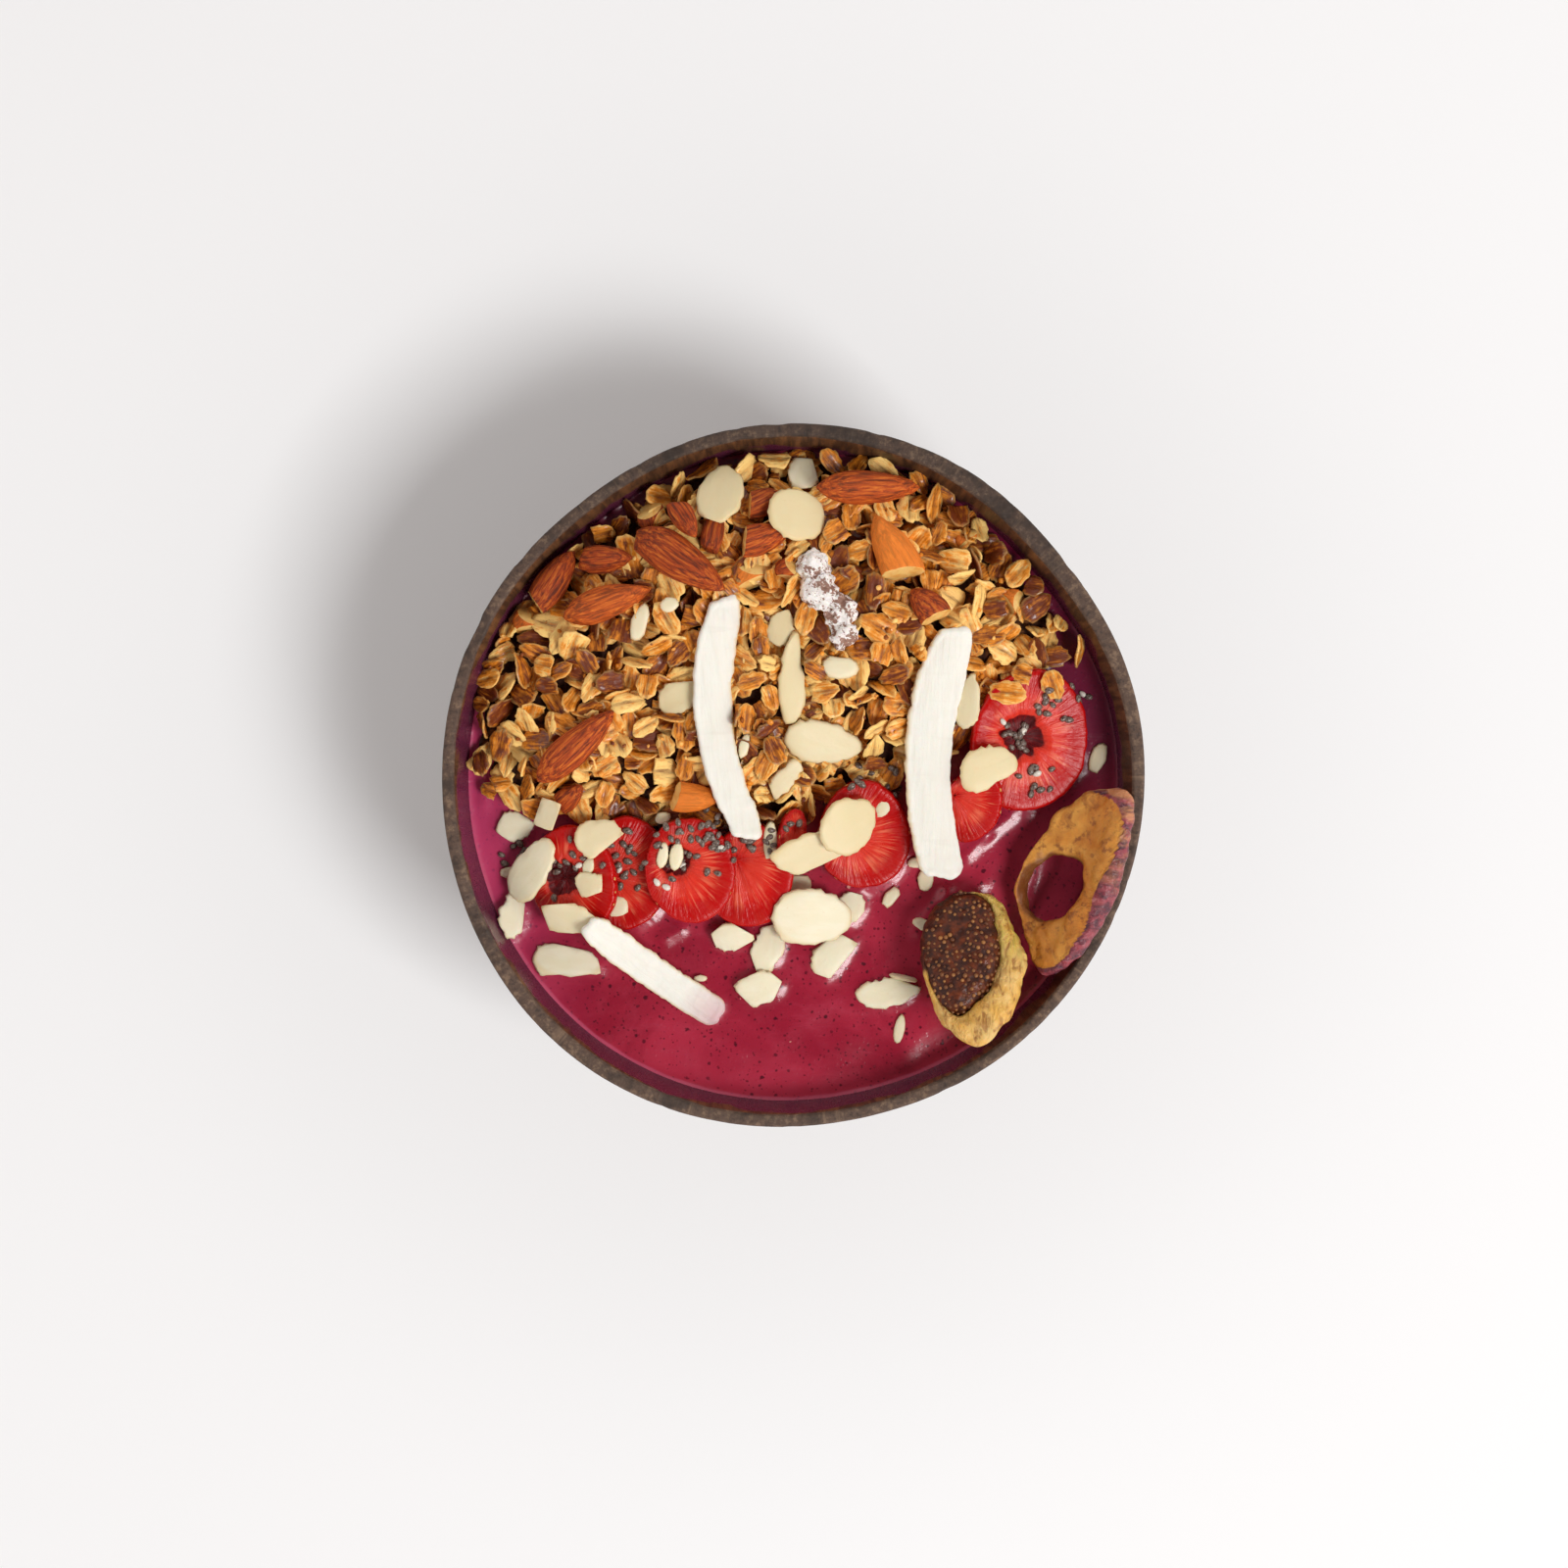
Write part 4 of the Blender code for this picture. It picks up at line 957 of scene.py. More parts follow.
class BOWL_OT_granola(bpy.types.Operator):
    """Pile rolled oats and crumbs on a core painted dark as shade, clear of the toppings."""

    bl_idname = "bowl.granola"
    bl_label = "Granola"
    SHAPES = 16
    SPOTS_TRIED = 14
    POSES_TRIED = 4

    def execute(self, context):
        looks = context.scene.bowl_granola
        heap = HeapGround()
        oats = make_oat_material(looks)
        self.make_core(heap, looks)
        rng = random.Random(7)
        pile = Pile()
        shapes = [oat_template(seed, looks) for seed in range(1, self.SHAPES + 1)]
        rows, columns = np.nonzero(heap.mask)
        marks = heap.grid.marks
        laid = 0
        for _ in range(looks.count * 3):
            if laid >= looks.count:
                break
            picks = [rng.randrange(len(rows)) for _ in range(self.SPOTS_TRIED)]
            depth = [heap.ground[rows[k], columns[k]] - heap.core[rows[k], columns[k]]
                     for k in picks]
            spot = picks[int(np.argmin(depth))]
            x = marks[columns[spot]] + rng.uniform(-0.2, 0.2) * MM
            y = marks[rows[spot]] + rng.uniform(-0.2, 0.2) * MM
            laid += self.lay_oat(heap, pile, shapes, rng, x, y, looks)
        for x, y in LOOSE_OATS:
            self.lay_oat(heap, pile, shapes, rng, x * MM, y * MM, looks)
        self.scatter_crumbs(heap, oats, looks)
        heap.bury()
        for x, y in OATS_ON_SLICE:
            self.lay_oat(heap, pile, shapes, rng, x * MM, y * MM, looks)
        pile.piece("granola_oats", [oats], ["granola"])
        return {"FINISHED"}

    def lay_oat(self, heap, pile, shapes, rng, x, y, looks):
        """Lay one oat in the pose of a few random ones that sinks lowest."""
        points, faces, edges, along = shapes[rng.randrange(len(shapes))]
        scale = rng.uniform(0.74, 1.1)
        wide = scale * rng.uniform(0.82, 1.14)
        sizes = (looks.length / 2 * scale, looks.width / 2 * wide, looks.thickness / 2)
        best = None
        for _ in range(self.POSES_TRIED):
            tilt = math.radians(rng.choice((10, 18, 28, 40, 54, 70)) * rng.uniform(0.7, 1.15))
            turned = tilted_axes(rng, tilt)
            height = heap.fit(x, y, turned, sizes)
            if height is None:
                continue
            score = height - sizes[1] * math.sin(tilt) * 0.45
            if best is None or score < best[0]:
                best = (score, height, turned)
        if best is None:
            return 0
        _, height, turned = best
        here = heap.core[heap.grid.cell(y), heap.grid.cell(x)]
        if height > here + TALLEST:
            return 0
        heap.settle(x, y, height, turned, sizes)
        shaped = points * np.array((scale, wide, 1.0))
        placed = shaped @ turned + np.array((x, y, height - 0.15 * MM))
        patch = 0.5 + 0.5 * wobble((x, y, 0), 14 * MM, 3)
        tint = min(1.0, max(0.0, rng.gauss(0.47, 0.33) + (patch - 0.5) * 0.4))
        drift = np.array((rng.uniform(-1, 1), rng.uniform(-1, 1), 0))
        pile.add(placed, faces, tint=tint, edge=edges, along=along + drift)
        return 1

    def make_core(self, heap, looks):
        """The heap's own core: the solid remeshed, lowered and roughened."""
        bm = remeshed("granola", 0.9 * MM, 3)
        low = min(vert.co.z for vert in bm.verts)
        for vert in bm.verts:
            top = heap.core[heap.grid.cell(vert.co.y), heap.grid.cell(vert.co.x)]
            rough = 0.7 * MM * wobble(vert.co, 2.4 * MM, 6)
            vert.co.z = max(low, min(vert.co.z, top + rough))
        single(arrays(bm), "granola_core", make_shaded_core_material(looks), "granola", "granola")

    def scatter_crumbs(self, heap, material, looks):
        """Oat crumbs and broken bits in the gaps."""
        rng = random.Random(8)
        pile = Pile()
        rows, columns = np.nonzero(heap.mask)
        for index in range(looks.crumbs):
            bm = bmesh.new()
            bmesh.ops.create_icosphere(bm, subdivisions=1, radius=1.0)
            size = rng.uniform(0.35, 0.85) * MM
            for vert in bm.verts:
                vert.co *= size * (1 + 0.35 * wobble(vert.co, 0.8, index))
                vert.co.z *= 0.6
            turn = Matrix.Rotation(rng.uniform(0, math.tau), 3, Vector((rng.random(), 1, 0.4)))
            bmesh.ops.rotate(bm, verts=bm.verts, matrix=turn)
            spot = rng.randrange(len(rows))
            row, column = rows[spot], columns[spot]
            height = heap.ground[row, column]
            if heap.cover[row, column] > 0:
                bm.free()
                continue
            points, faces, _ = arrays(bm)
            place = np.array((heap.grid.marks[column], heap.grid.marks[row], height))
            pile.add(points + place, faces, tint=rng.uniform(0.2, 1.0), edge=0.4,
                     along=np.zeros((len(points), 3)))
        pile.piece("granola_crumbs", [material], ["granola"])


def make_almond_materials(looks):
    """Wrinkled almond skin, and the cream kernel where one is cut."""
    web = Finish("almond_skin", Specular_IOR_Level=0.35)
    shape = web.vector("along")
    tint = web.value("tint")
    long_lines = web.grain(shape, (130, 1500, 1500), 5.0, 0.65, 0.5)
    fine = web.grain(shape, (500, 3200, 3200), 4.0, 0.6, 0.3)
    colour = web.cover(
        looks.groove,
        (long_lines, 0.36, 0.56, 1, looks.skin),
        (long_lines, 0.5, 0.68, 0.75, looks.ridge),
        (fine, 0.55, 0.75, 0.4, looks.ridge),
        (web.noise(900, 4.0, 0.7), 0.6, 0.8, 0.2, screen(226, 152, 84)),
        (tint, 0.45, 1.0, 0.6, screen(226, 130, 40)))
    # The tint scales the whole skin: each piece's own tone, and for some nuts painted shade.
    colour = web.shade(colour, 0.76 + tint * 0.5)
    skin = web.finish(colour, 0.5 + fine * 0.25, long_lines + fine * 0.5, 0.5 * MM, 0.9)
    web = Finish("almond_kernel", Subsurface_Weight=0.15, Subsurface_Scale=0.002)
    mark = web.noise(380, 4.0, 0.6)
    colour = web.mix(web.step(mark, 0.4, 0.72), looks.kernel, screen(216, 142, 46))
    kernel = web.finish(colour, 0.5 + mark * 0.2, mark, 0.4 * MM, 0.6)
    return skin, kernel


# How pale each almond is, from zero to one, in the order of their names: partly each nut's own
# tone, partly painted shade, low for the nuts that lie in shadow on the left
ALMOND_TONE_AND_SHADE = (0.1, 0.2, 0.6, 0.3, 0.3, 0.05, 0.1, 0.5, 0.55, 1.0, 0.25, 0.45, 1.0, 0.35)
# Chopped bits too small for solids of their own: x, y, length, width, turn, tint
ALMOND_BITS = (
    (-57.1, 32.8, 6.8, 6.4, 40, 0.7), (-30.3, 55.0, 7.2, 6.2, 95, 0.1),
    (-9.2, 42.7, 10.0, 8.0, 50, 1.0), (-0.6, 43.1, 7.4, 6.6, 20, 0.4),
    (47.1, 37.0, 6.2, 5.4, -30, 0.9), (36.8, 50.8, 5.4, 4.8, 60, 0.9),
)


class BOWL_OT_almonds(bpy.types.Operator):
    """Make the almonds: ridged skins, and pale kernels where they are chopped."""

    bl_idname = "bowl.almonds"
    bl_label = "Almonds"

    def execute(self, context):
        looks = context.scene.bowl_almond
        pile = Pile()
        names = nodes_named("almond_0") + nodes_named("almond_1")
        for seed, name in enumerate(names):
            bm = node_copy(name)
            bmesh.ops.dissolve_limit(bm, angle_limit=math.radians(1.5), verts=bm.verts,
                                     edges=bm.edges)
            for face in bm.faces:
                turns = [edge.calc_face_angle(0.0) for edge in face.edges]
                face.material_index = 1 if min(turns) > math.radians(42) else 0
            centre, axes = axes_of(places(bm.verts))
            crease(bm, 45, 0.8)
            bm = smoothed(bm, 3)

            def wrinkles(place, _normal, seed=seed, centre=centre, axes=axes):
                local = axes @ (np.array(place) - centre)
                lines = wobble((local[0] * 0.16, local[1], local[2]), 1.3 * MM, seed)
                dents = wobble((local[0] * 0.5, local[1], local[2]), 4 * MM, seed + 5)
                return looks.wrinkle * (lines * 0.7 + dents * 0.8)

            push(bm, wrinkles)
            points, faces, slots = arrays(bm)
            local = (points - centre) @ axes.T + np.array((seed * 0.05, 0, 0))
            pile.add(points, faces, slots, along=local, tint=ALMOND_TONE_AND_SHADE[seed])
        tree = node_tree(*frame["nodes"])
        for seed, bit in enumerate(ALMOND_BITS):
            self.lay_bit(pile, tree, seed, *bit)
        skin, kernel = make_almond_materials(looks)
        pile.piece("almond_nuts", [skin, kernel], names)
        return {"FINISHED"}

    def lay_bit(self, pile, tree, seed, x, y, length, width, turn, tint):
        """A chopped bit of almond: a lump with two flat cuts, sunk into the heap."""
        bm = bmesh.new()
        bmesh.ops.create_icosphere(bm, subdivisions=3, radius=1.0)
        for way, reach in (((0.8, 0.3, 0.5), 0.45), ((-0.5, -0.8, 0.25), 0.55)):
            whole = bm.verts[:] + bm.edges[:] + bm.faces[:]
            normal = Vector(way).normalized()
            cut = bmesh.ops.bisect_plane(bm, geom=whole, plane_co=normal * reach,
                                         plane_no=normal, clear_outer=True)
            edges = [e for e in cut["geom_cut"] if isinstance(e, bmesh.types.BMEdge)]
            for face in bmesh.ops.contextual_create(bm, geom=edges)["faces"]:
                face.material_index = 1
        size = Vector((length / 2, width / 2, width / 3)) * MM
        for vert in bm.verts:
            vert.co *= 1 + 0.12 * wobble(vert.co, 0.5, seed)
            vert.co = Vector(a * b for a, b in zip(vert.co, size))
        spin = Matrix.Rotation(math.radians(turn), 3, "Z")
        hit, _ = seen_from_above(tree, x * MM, y * MM)
        points, faces, slots = arrays(bm)
        local = points + np.array((seed * 0.03 + 1, 0, 0))
        placed = points @ np.array(spin).T + np.array(hit) + np.array((0, 0, size.z * 0.45))
        pile.add(placed, faces, slots, along=local, tint=tint)


def make_flake_material(looks):
    """Sliced almond: ivory, smooth, with faint rings; duller and warmer up on the heap."""
    web = Finish("sliced_almond", Subsurface_Weight=0.15, Subsurface_Scale=0.0015,
                 Specular_IOR_Level=0.4)
    lines = web.grain(web.vector("along"), (160, 420, 0), 3.0, 0.5, 0.4)
    fine = web.noise(1300, 3.0, 0.6)
    colour = web.mix(web.step(lines, 0.35, 0.7) * 0.5, looks.flake, screen(246, 236, 212))
    colour = web.cover(
        web.mix(web.value("high") * 0.75, colour, screen(222, 200, 148)),
        (web.value("edge"), 0.8, 1.0, 0.4, screen(222, 190, 128)),
        (fine, 0.6, 0.8, 0.25, screen(216, 178, 118)))
    return web.finish(colour, 0.42 + lines * 0.15, lines + fine * 0.3, 0.2 * MM, 0.6)


def thin_outline(place, normal, centre, axes, seed, size):
    """How far the edge of a thin piece is broken in or out at a place."""
    local = axes @ (np.array(place) - centre)
    side = max(0.0, 1 - abs(axes[2] @ np.array(normal)) * 1.25)
    angle = math.atan2(local[1], local[0])
    round_it = (math.cos(angle) * 1.4, math.sin(angle) * 1.4, 0)
    chips = abs(wobble(round_it, 0.5, seed)) - 0.5 + 0.3 * wobble(round_it, 0.17, seed + 3)
    return -side * size * chips


# Straight breaks of the sliced almonds: the way each one faces in degrees, seen from
# above, and the share of the reach that is left on that side
BREAKS = {
    "almond_flake_01": ((250, 0.88),),
    "almond_flake_02": ((15, 0.78), (85, 0.85), (190, 0.8), (275, 0.82)),
    "almond_flake_04": ((95, 0.72), (0, 0.85), (265, 0.85)),
    "almond_flake_05": ((110, 0.78), (25, 0.78), (235, 0.8)),
    "almond_flake_08": ((40, 0.8), (200, 0.85)),
    "almond_flake_13": ((75, 0.75), (320, 0.8), (200, 0.8)),
    "almond_flake_14": ((60, 0.78), (250, 0.85)),
    "almond_flake_15": ((60, 0.76), (300, 0.76), (200, 0.85), (130, 0.8)),
    "almond_flake_16": ((100, 0.8), (200, 0.82)),
    "almond_flake_17": ((115, 0.78), (335, 0.74), (225, 0.8), (50, 0.85)),
    "almond_flake_19": ((70, 0.75),),
    "almond_flake_20": ((78, 0.66), (10, 0.85)),
    "almond_flake_21": ((55, 0.8), (355, 0.78), (205, 0.82)),
    "almond_flake_22": ((55, 0.76), (330, 0.78), (235, 0.78), (150, 0.84)),
    "almond_flake_23": ((70, 0.72), (340, 0.74), (250, 0.74), (160, 0.74)),
    "almond_flake_25": ((310, 0.8), (95, 0.9)),
    "almond_flake_26": ((85, 0.76), (0, 0.8), (205, 0.82), (290, 0.8)),
    "almond_flake_27": ((95, 0.68), (200, 0.85), (310, 0.78)),
}


def lay_thin_piece(pile, name, seed, levels, fold):
    """Add a thin solid to a pile: smoothed, with a broken edge and its lengthwise frame."""
    bm = node_copy(name, join=25)
    bmesh.ops.dissolve_limit(bm, angle_limit=math.radians(4), verts=bm.verts, edges=bm.edges)
    bmesh.ops.triangulate(bm, faces=[f for f in bm.faces if len(f.verts) > 4])
    bmesh.ops.join_triangles(bm, faces=bm.faces, angle_face_threshold=math.radians(10),
                             angle_shape_threshold=math.radians(180))
    crease(bm, 50, 0.78)
    bm = smoothed(bm, levels)
    centre, axes = axes_of(places(bm.verts))
    push(bm, lambda place, normal: fold * wobble(place, 3.5 * MM, seed)
         + 0.35 * fold * wobble(place, 1.2 * MM, seed)
         + thin_outline(place, normal, centre, axes, seed, 1.5 * MM))
    points, faces, slots = arrays(bm)
    for angle, kept in BREAKS.get(name, ()):
        way = np.array((math.cos(math.radians(angle)), math.sin(math.radians(angle))))
        span = (points - centre)[:, :2] @ way
        over = np.clip(span - span.max() * kept, 0, None)
        points[:, :2] -= np.outer(over * 0.92, way)
    local = (points - centre) @ axes.T
    half = np.maximum(np.abs(local).max(axis=0), 1e-6)
    reach = np.hypot(local[:, 0] / half[0], local[:, 1] / half[1])
    high = min(1.0, max(0.0, (centre[2] - 55 * MM) / (7 * MM)))
    local[:, :2] += np.array((seed * 0.37, seed * 0.21))
    pile.add(points, faces, slots, along=local, edge=np.clip(reach, 0, 1), high=high)


# Slivers too small for solids of their own: x, y, length, width in mm, turn in degrees
SLIVERS = (
    (-32.6, 32.2, 8.5, 3.6, 75), (-26.3, 35.8, 4.0, 3.2, 20), (19.2, -7.0, 5.0, 3.2, 60),
    (9.7, 22.6, 8.2, 4.8, -4), (21.0, -26.4, 5.2, 2.8, 55), (28.5, -22.6, 5.2, 3.4, 80),
    (26.6, -19.0, 4.4, 2.6, 10), (27.9, -32.4, 4.8, 2.6, -25), (23.5, -44.3, 6.8, 3.4, -15),
    (22.8, -55.0, 6.6, 2.4, 80), (-37.8, -28.4, 5.2, 4.6, 30), (-43.6, -19.6, 4.2, 2.6, 70),
    (-61.4, -21.2, 4.0, 2.6, 0), (-27.9, -17.2, 5.8, 2.4, 78), (-25.0, -17.5, 6.2, 3.0, 82),
    (65.6, 3.5, 6.8, 3.6, 70), (0.8, -24.0, 6.4, 4.6, 20), (-5.0, -14.2, 9.0, 3.0, 88),
    (-10.6, 6.0, 5.6, 2.2, 75), (-28.0, -9.4, 3.6, 2.6, 10), (-20.1, -44.0, 3.0, 1.6, 0),
)


class BOWL_OT_almond_flakes(bpy.types.Operator):
    """Make the sliced almonds and the small slivers between them."""

    bl_idname = "bowl.almond_flakes"
    bl_label = "Almond Flakes"

    def execute(self, context):
        looks = context.scene.bowl_almond
        pile = Pile()
        names = nodes_named("almond_flake")
        for seed, name in enumerate(names):
            lay_thin_piece(pile, name, seed, 2, 0.16 * MM)
        solids, oats = node_tree(*frame["nodes"]), piece_tree("granola_oats")
        for seed, sliver in enumerate(SLIVERS):
            self.lay_sliver(pile, solids, oats, seed, *sliver)
        pile.piece("sliced_almonds", [make_flake_material(looks)], names)
        return {"FINISHED"}

    def lay_sliver(self, pile, solids, oats, seed, x, y, length, width, turn):
        """A small chip of almond, lying on what is under it."""
        bm = bmesh.new()
        bmesh.ops.create_uvsphere(bm, u_segments=12, v_segments=6, radius=1.0)
        for vert in bm.verts:
            angle = math.atan2(vert.co.y, vert.co.x)
            ragged = 1 + 0.22 * wobble((math.cos(angle), math.sin(angle), 0), 0.6, seed + 40)
            flat = math.copysign(abs(vert.co.z) ** 0.4, vert.co.z)
            vert.co = Vector((vert.co.x * length / 2 * ragged, vert.co.y * width / 2 * ragged,
                              flat * 0.45)) * MM
        spin = Matrix.Rotation(math.radians(turn), 3, "Z")
        hit, normal = seen_from_above(solids, x * MM, y * MM)
        spots = [spin @ Vector((length * u, width * v, 0)) * 0.3
                 for u in (-1, 0, 1) for v in (-1, 0, 1)]
        under = [seen_from_above(oats, (x + spot.x) * MM, (y + spot.y) * MM)[0]
                 for spot in spots]
        tops = sorted(place.z for place in under if place is not None)
        if len(tops) > 4 and tops[-3] > hit.z:
            hit.z = tops[-3]
            normal = (normal + UP).normalized()
        points, faces, slots = arrays(bm)
        placed = points @ np.array(upright_on(normal) @ spin).T
        placed += np.array(hit + normal * 0.5 * MM)
        reach = np.hypot(points[:, 0] / (length / 2 * MM), points[:, 1] / (width / 2 * MM))
        pile.add(placed, faces, slots, along=points, edge=np.clip(reach, 0, 1), high=0.3)


def make_coconut_material(looks):
    """Dried coconut: chalky white with faint fibres, a cream side and a berry stain."""
    web = Finish("dried_coconut", Subsurface_Weight=0.12, Subsurface_Scale=0.0015)
    shape = web.vector("along")
    fibres = web.grain(shape, (90, 900, 900), 4.0, 0.6, 0.2)
    cross = web.grain(shape, (500, 60, 60), 3.0, 0.6, 0.4)
    fine = web.noise(1500, 3.0, 0.6)
    colour = web.cover(
        looks.coconut,
        (fibres, 0.35, 0.8, 0.4, screen(226, 218, 204)),
        (cross, 0.58, 0.75, 0.15, screen(210, 200, 184)),
        (web.value("edge"), 0.88, 1.0, 0.75, looks.cream),
        (fine, 0.62, 0.8, 0.15, screen(204, 190, 168)))
    colour = web.mix(web.value("stain") * 0.8, colour, screen(204, 138, 152))
    height = fibres + cross * 0.35 + fine * 0.3
    return web.finish(colour, 0.5 + fine * 0.15, height, 0.35 * MM, 0.6)


# Where berry juice has soaked into a chip: x, y and reach in mm, and how strongly
STAINS = {
    "coconut_chip_2": (38.0, -21.0, 3.4, 1.0), "coconut_chip_3": (-15.8, -53.0, 10.0, 0.85),
}


class BOWL_OT_coconut_chips(bpy.types.Operator):
    """Make the curled coconut chips."""

    bl_idname = "bowl.coconut_chips"
    bl_label = "Coconut Chips"

    def execute(self, context):
        looks = context.scene.bowl_dried
        pile = Pile()
        names = nodes_named("coconut_chip")
        for seed, name in enumerate(names):
            bm = node_copy(name, join=30)
            centre, axes = axes_of(places(bm.verts))
            crease(bm, 50, 0.6)
            layer = bm.edges.layers.float["crease_edge"]
            for edge in bm.edges:
                way = (edge.verts[1].co - edge.verts[0].co).normalized()
                if abs(axes[2] @ np.array(way)) > 0.8:
                    edge[layer] = 0.0
            bm = smoothed(bm, 3)
            push(bm, lambda place, normal: self.torn(place, normal, centre, axes, seed))
            points, faces, slots = arrays(bm)
            local = (points - centre) @ axes.T
            x, y, span, strength = STAINS.get(name, (0.0, 0.0, 1.0, 0.0))
            away = np.hypot(points[:, 0] - x * MM, points[:, 1] - y * MM)
            stain = np.clip(1 - away / (span * MM), 0, 1) * strength
            pile.add(points, faces, slots, along=local, edge=self.side_of(local, seed == 2),
                     stain=stain)
        pile.piece("coconut_chips", [make_coconut_material(looks)], names)
        return {"FINISHED"}

    def torn(self, place, normal, centre, axes, seed):
        """Rough edges, rougher on one side, and a slight unevenness of the faces."""
        local = axes @ (np.array(place) - centre)
        side = abs(axes[1] @ np.array(normal))
        ends = abs(axes[0] @ np.array(normal))
        tear = wobble((local[0], 0, 0), 2.4 * MM, seed + 20)
        tear += 0.6 * wobble((local[0], 0, 0), 0.8 * MM, seed + 30)
        tear *= 0.5 if local[1] < 0 else 0.85
        torn_end = wobble((0, local[1], 0), 1.6 * MM, seed + 40)
        bumps = 0.14 * wobble(place, 3.4 * MM, seed) + 0.05 * wobble(place, 1.1 * MM, seed)
        grown = 0.45 * side + 1.3 * ends ** 2
        return (0.5 * side * tear + 0.9 * ends * torn_end + bumps + grown) * MM

    def side_of(self, local, both):
        """One on the brown side of a chip, or on both sides, and zero opposite."""
        steps = np.linspace(local[:, 0].min(), local[:, 0].max(), 24)
        which = np.digitize(local[:, 0], steps)
        edge = np.zeros(len(local))
        for step in np.unique(which):
            row = which == step
            low, high = local[row, 1].min(), local[row, 1].max()
            share = (local[row, 1] - low) / max(high - low, WELD)
            edge[row] = np.maximum(share, 1 - share) if both else share
        return edge


def make_berry_material(looks):
    """Cut strawberry: pale radial streaks, a deep red rim and a hollow painted dark as its
    shade, all wet.
    """
    web = Finish("cut_strawberry", Subsurface_Weight=0.08, Subsurface_Scale=0.002,
                 Specular_IOR_Level=0.3)
    spoke = web.vector("spoke")
    reach = web.value("reach")
    flank = web.value("flank")
    hollow = web.value("hollow")
    rays = web.grain(spoke, (6, 6, 0.9), 3.0, 0.55, 0.2)
    fine_rays = web.grain(spoke, (15, 15, 1.4), 3.0, 0.6, 0.15)
    cloud = web.noise(300, 4.0, 0.6)
    ragged = reach + (cloud - 0.5) * 0.22
    colour = web.mix(web.step(ragged, 0.58, 0.8), looks.flesh, looks.rim)
    middle = web.step(ragged, 0.1, 0.25) * web.step(ragged, 0.7, 0.5)
    colour = web.mix(middle * 0.36, colour, screen(236, 84, 60))
    band = web.step(reach, 0.42, 0.56) * web.step(reach + (rays - 0.5) * 0.5, 0.84, 0.68)
    streak = web.most(web.step(rays, 0.52, 0.66), web.step(fine_rays, 0.52, 0.64))
    colour = web.mix(streak * (band * 0.38 + 0.03), colour, looks.streak)
    # Painted shade: the hollow is coloured dark red.
    colour = web.cover(colour, (hollow + (cloud - 0.5) * 0.5, 0.3, 0.55, 1, looks.hollow_shade),
                       (fine_rays, 0.58, 0.36, 0.3, looks.rim))
    colour = web.mix(flank, colour, looks.rim)
    pips = web.cells(430)
    pip = web.step(pips, 0.22, 0.14) * web.step(flank, 0.35, 0.7)
    colour = web.mix(pip, colour, looks.achene)
    height = fine_rays * 0.8 + cloud * 0.6 + pip * 1.2 - web.step(pips, 0.5, 0.2) * flank
    return web.finish(colour, 0.2 + cloud * 0.2, height, 0.5 * MM, 0.7)


def make_chia_material(looks):
    """Chia seed: mottled grey-brown and shiny."""
    web = Finish("chia_seed", Specular_IOR_Level=0.6)
    mottle = web.noise(2300, 4.0, 0.7, None, 0.8)
    colour = web.cover(screen(62, 46, 40), (mottle, 0.4, 0.56, 1, looks.chia),
                       (mottle, 0.58, 0.72, 1, screen(176, 160, 146)))
    colour = web.mix(web.value("white"), colour, screen(222, 214, 200))
    return web.finish(colour, 0.28 + mottle * 0.1)


# Where the core of each slice lies from its middle, x and y in mm, and its hollow's radius
HEARTS = {
    "strawberry_slice_1": (-2.3, 0.5, 4.6), "strawberry_slice_2": (-2.6, 3.8, 0.0),
    "strawberry_slice_3": (-3.0, -1.0, 0.0), "strawberry_slice_4": (-2.3, 0.8, 3.8),
    "strawberry_slice_5": (-3.1, 2.3, 3.2), "strawberry_slice_6": (0.0, 1.5, 0.0),
    "strawberry_slice_7": (-3.7, 0.4, 0.0), "strawberry_slice_8": (-3.4, 2.6, 0.0),
}
# Profile of a slice from its core out: share of the reach, share of the thickness
FACE = [(0.02, 0.96), (0.06, 0.96), (0.12, 0.96), (0.18, 0.97)]
FACE += [(0.24 + 0.06 * step, 0.98) for step in range(12)]
FACE += [(0.955, 0.97), (0.985, 0.93), (1.0, 0.78), (1.0, 0.42), (0.97, 0.2), (0.9, 0.05),
         (0.8, 0.0), (0.4, 0.0)]
# Where chia lies thickest: x, y, spread in mm, number of seeds
CHIA_CLUSTERS = (
    (-59.5, -16.5, 4.0, 10), (-50.5, -20.0, 4.5, 16), (-38.0, -16.0, 4.0, 14),
    (-34.5, -21.5, 3.5, 10), (-27.0, -12.5, 4.0, 12), (-18.5, -12.0, 4.5, 20),
    (-24.5, -19.0, 4.0, 16), (-15.5, -16.5, 3.5, 12), (-8.5, -15.0, 3.5, 8),
    (-1.5, -12.5, 3.5, 8), (14.5, 0.5, 3.0, 7), (22.5, -1.8, 3.0, 6),
    (47.8, 8.5, 3.0, 18), (54.0, 12.5, 4.0, 9), (60.0, 16.5, 3.5, 6), (51.5, -0.5, 4.5, 9),
)


def drawn_rings(bm, turns, count):
    """Rings of points, each one drawn out of the last with faces between them."""
    rings = [bmesh.ops.create_circle(bm, segments=turns, radius=1.0)["verts"]]
    for _ in range(1, count):
        last = set(rings[-1])
        sides = [e for v in rings[-1] for e in v.link_edges if e.other_vert(v) in last]
        drawn = bmesh.ops.extrude_edge_only(bm, edges=list(set(sides)))["geom"]
        fresh = {v for v in drawn if isinstance(v, bmesh.types.BMVert)}
        rings.append([next(e.other_vert(v) for e in v.link_edges if e.other_vert(v) in fresh)
                      for v in rings[-1]])
    return rings


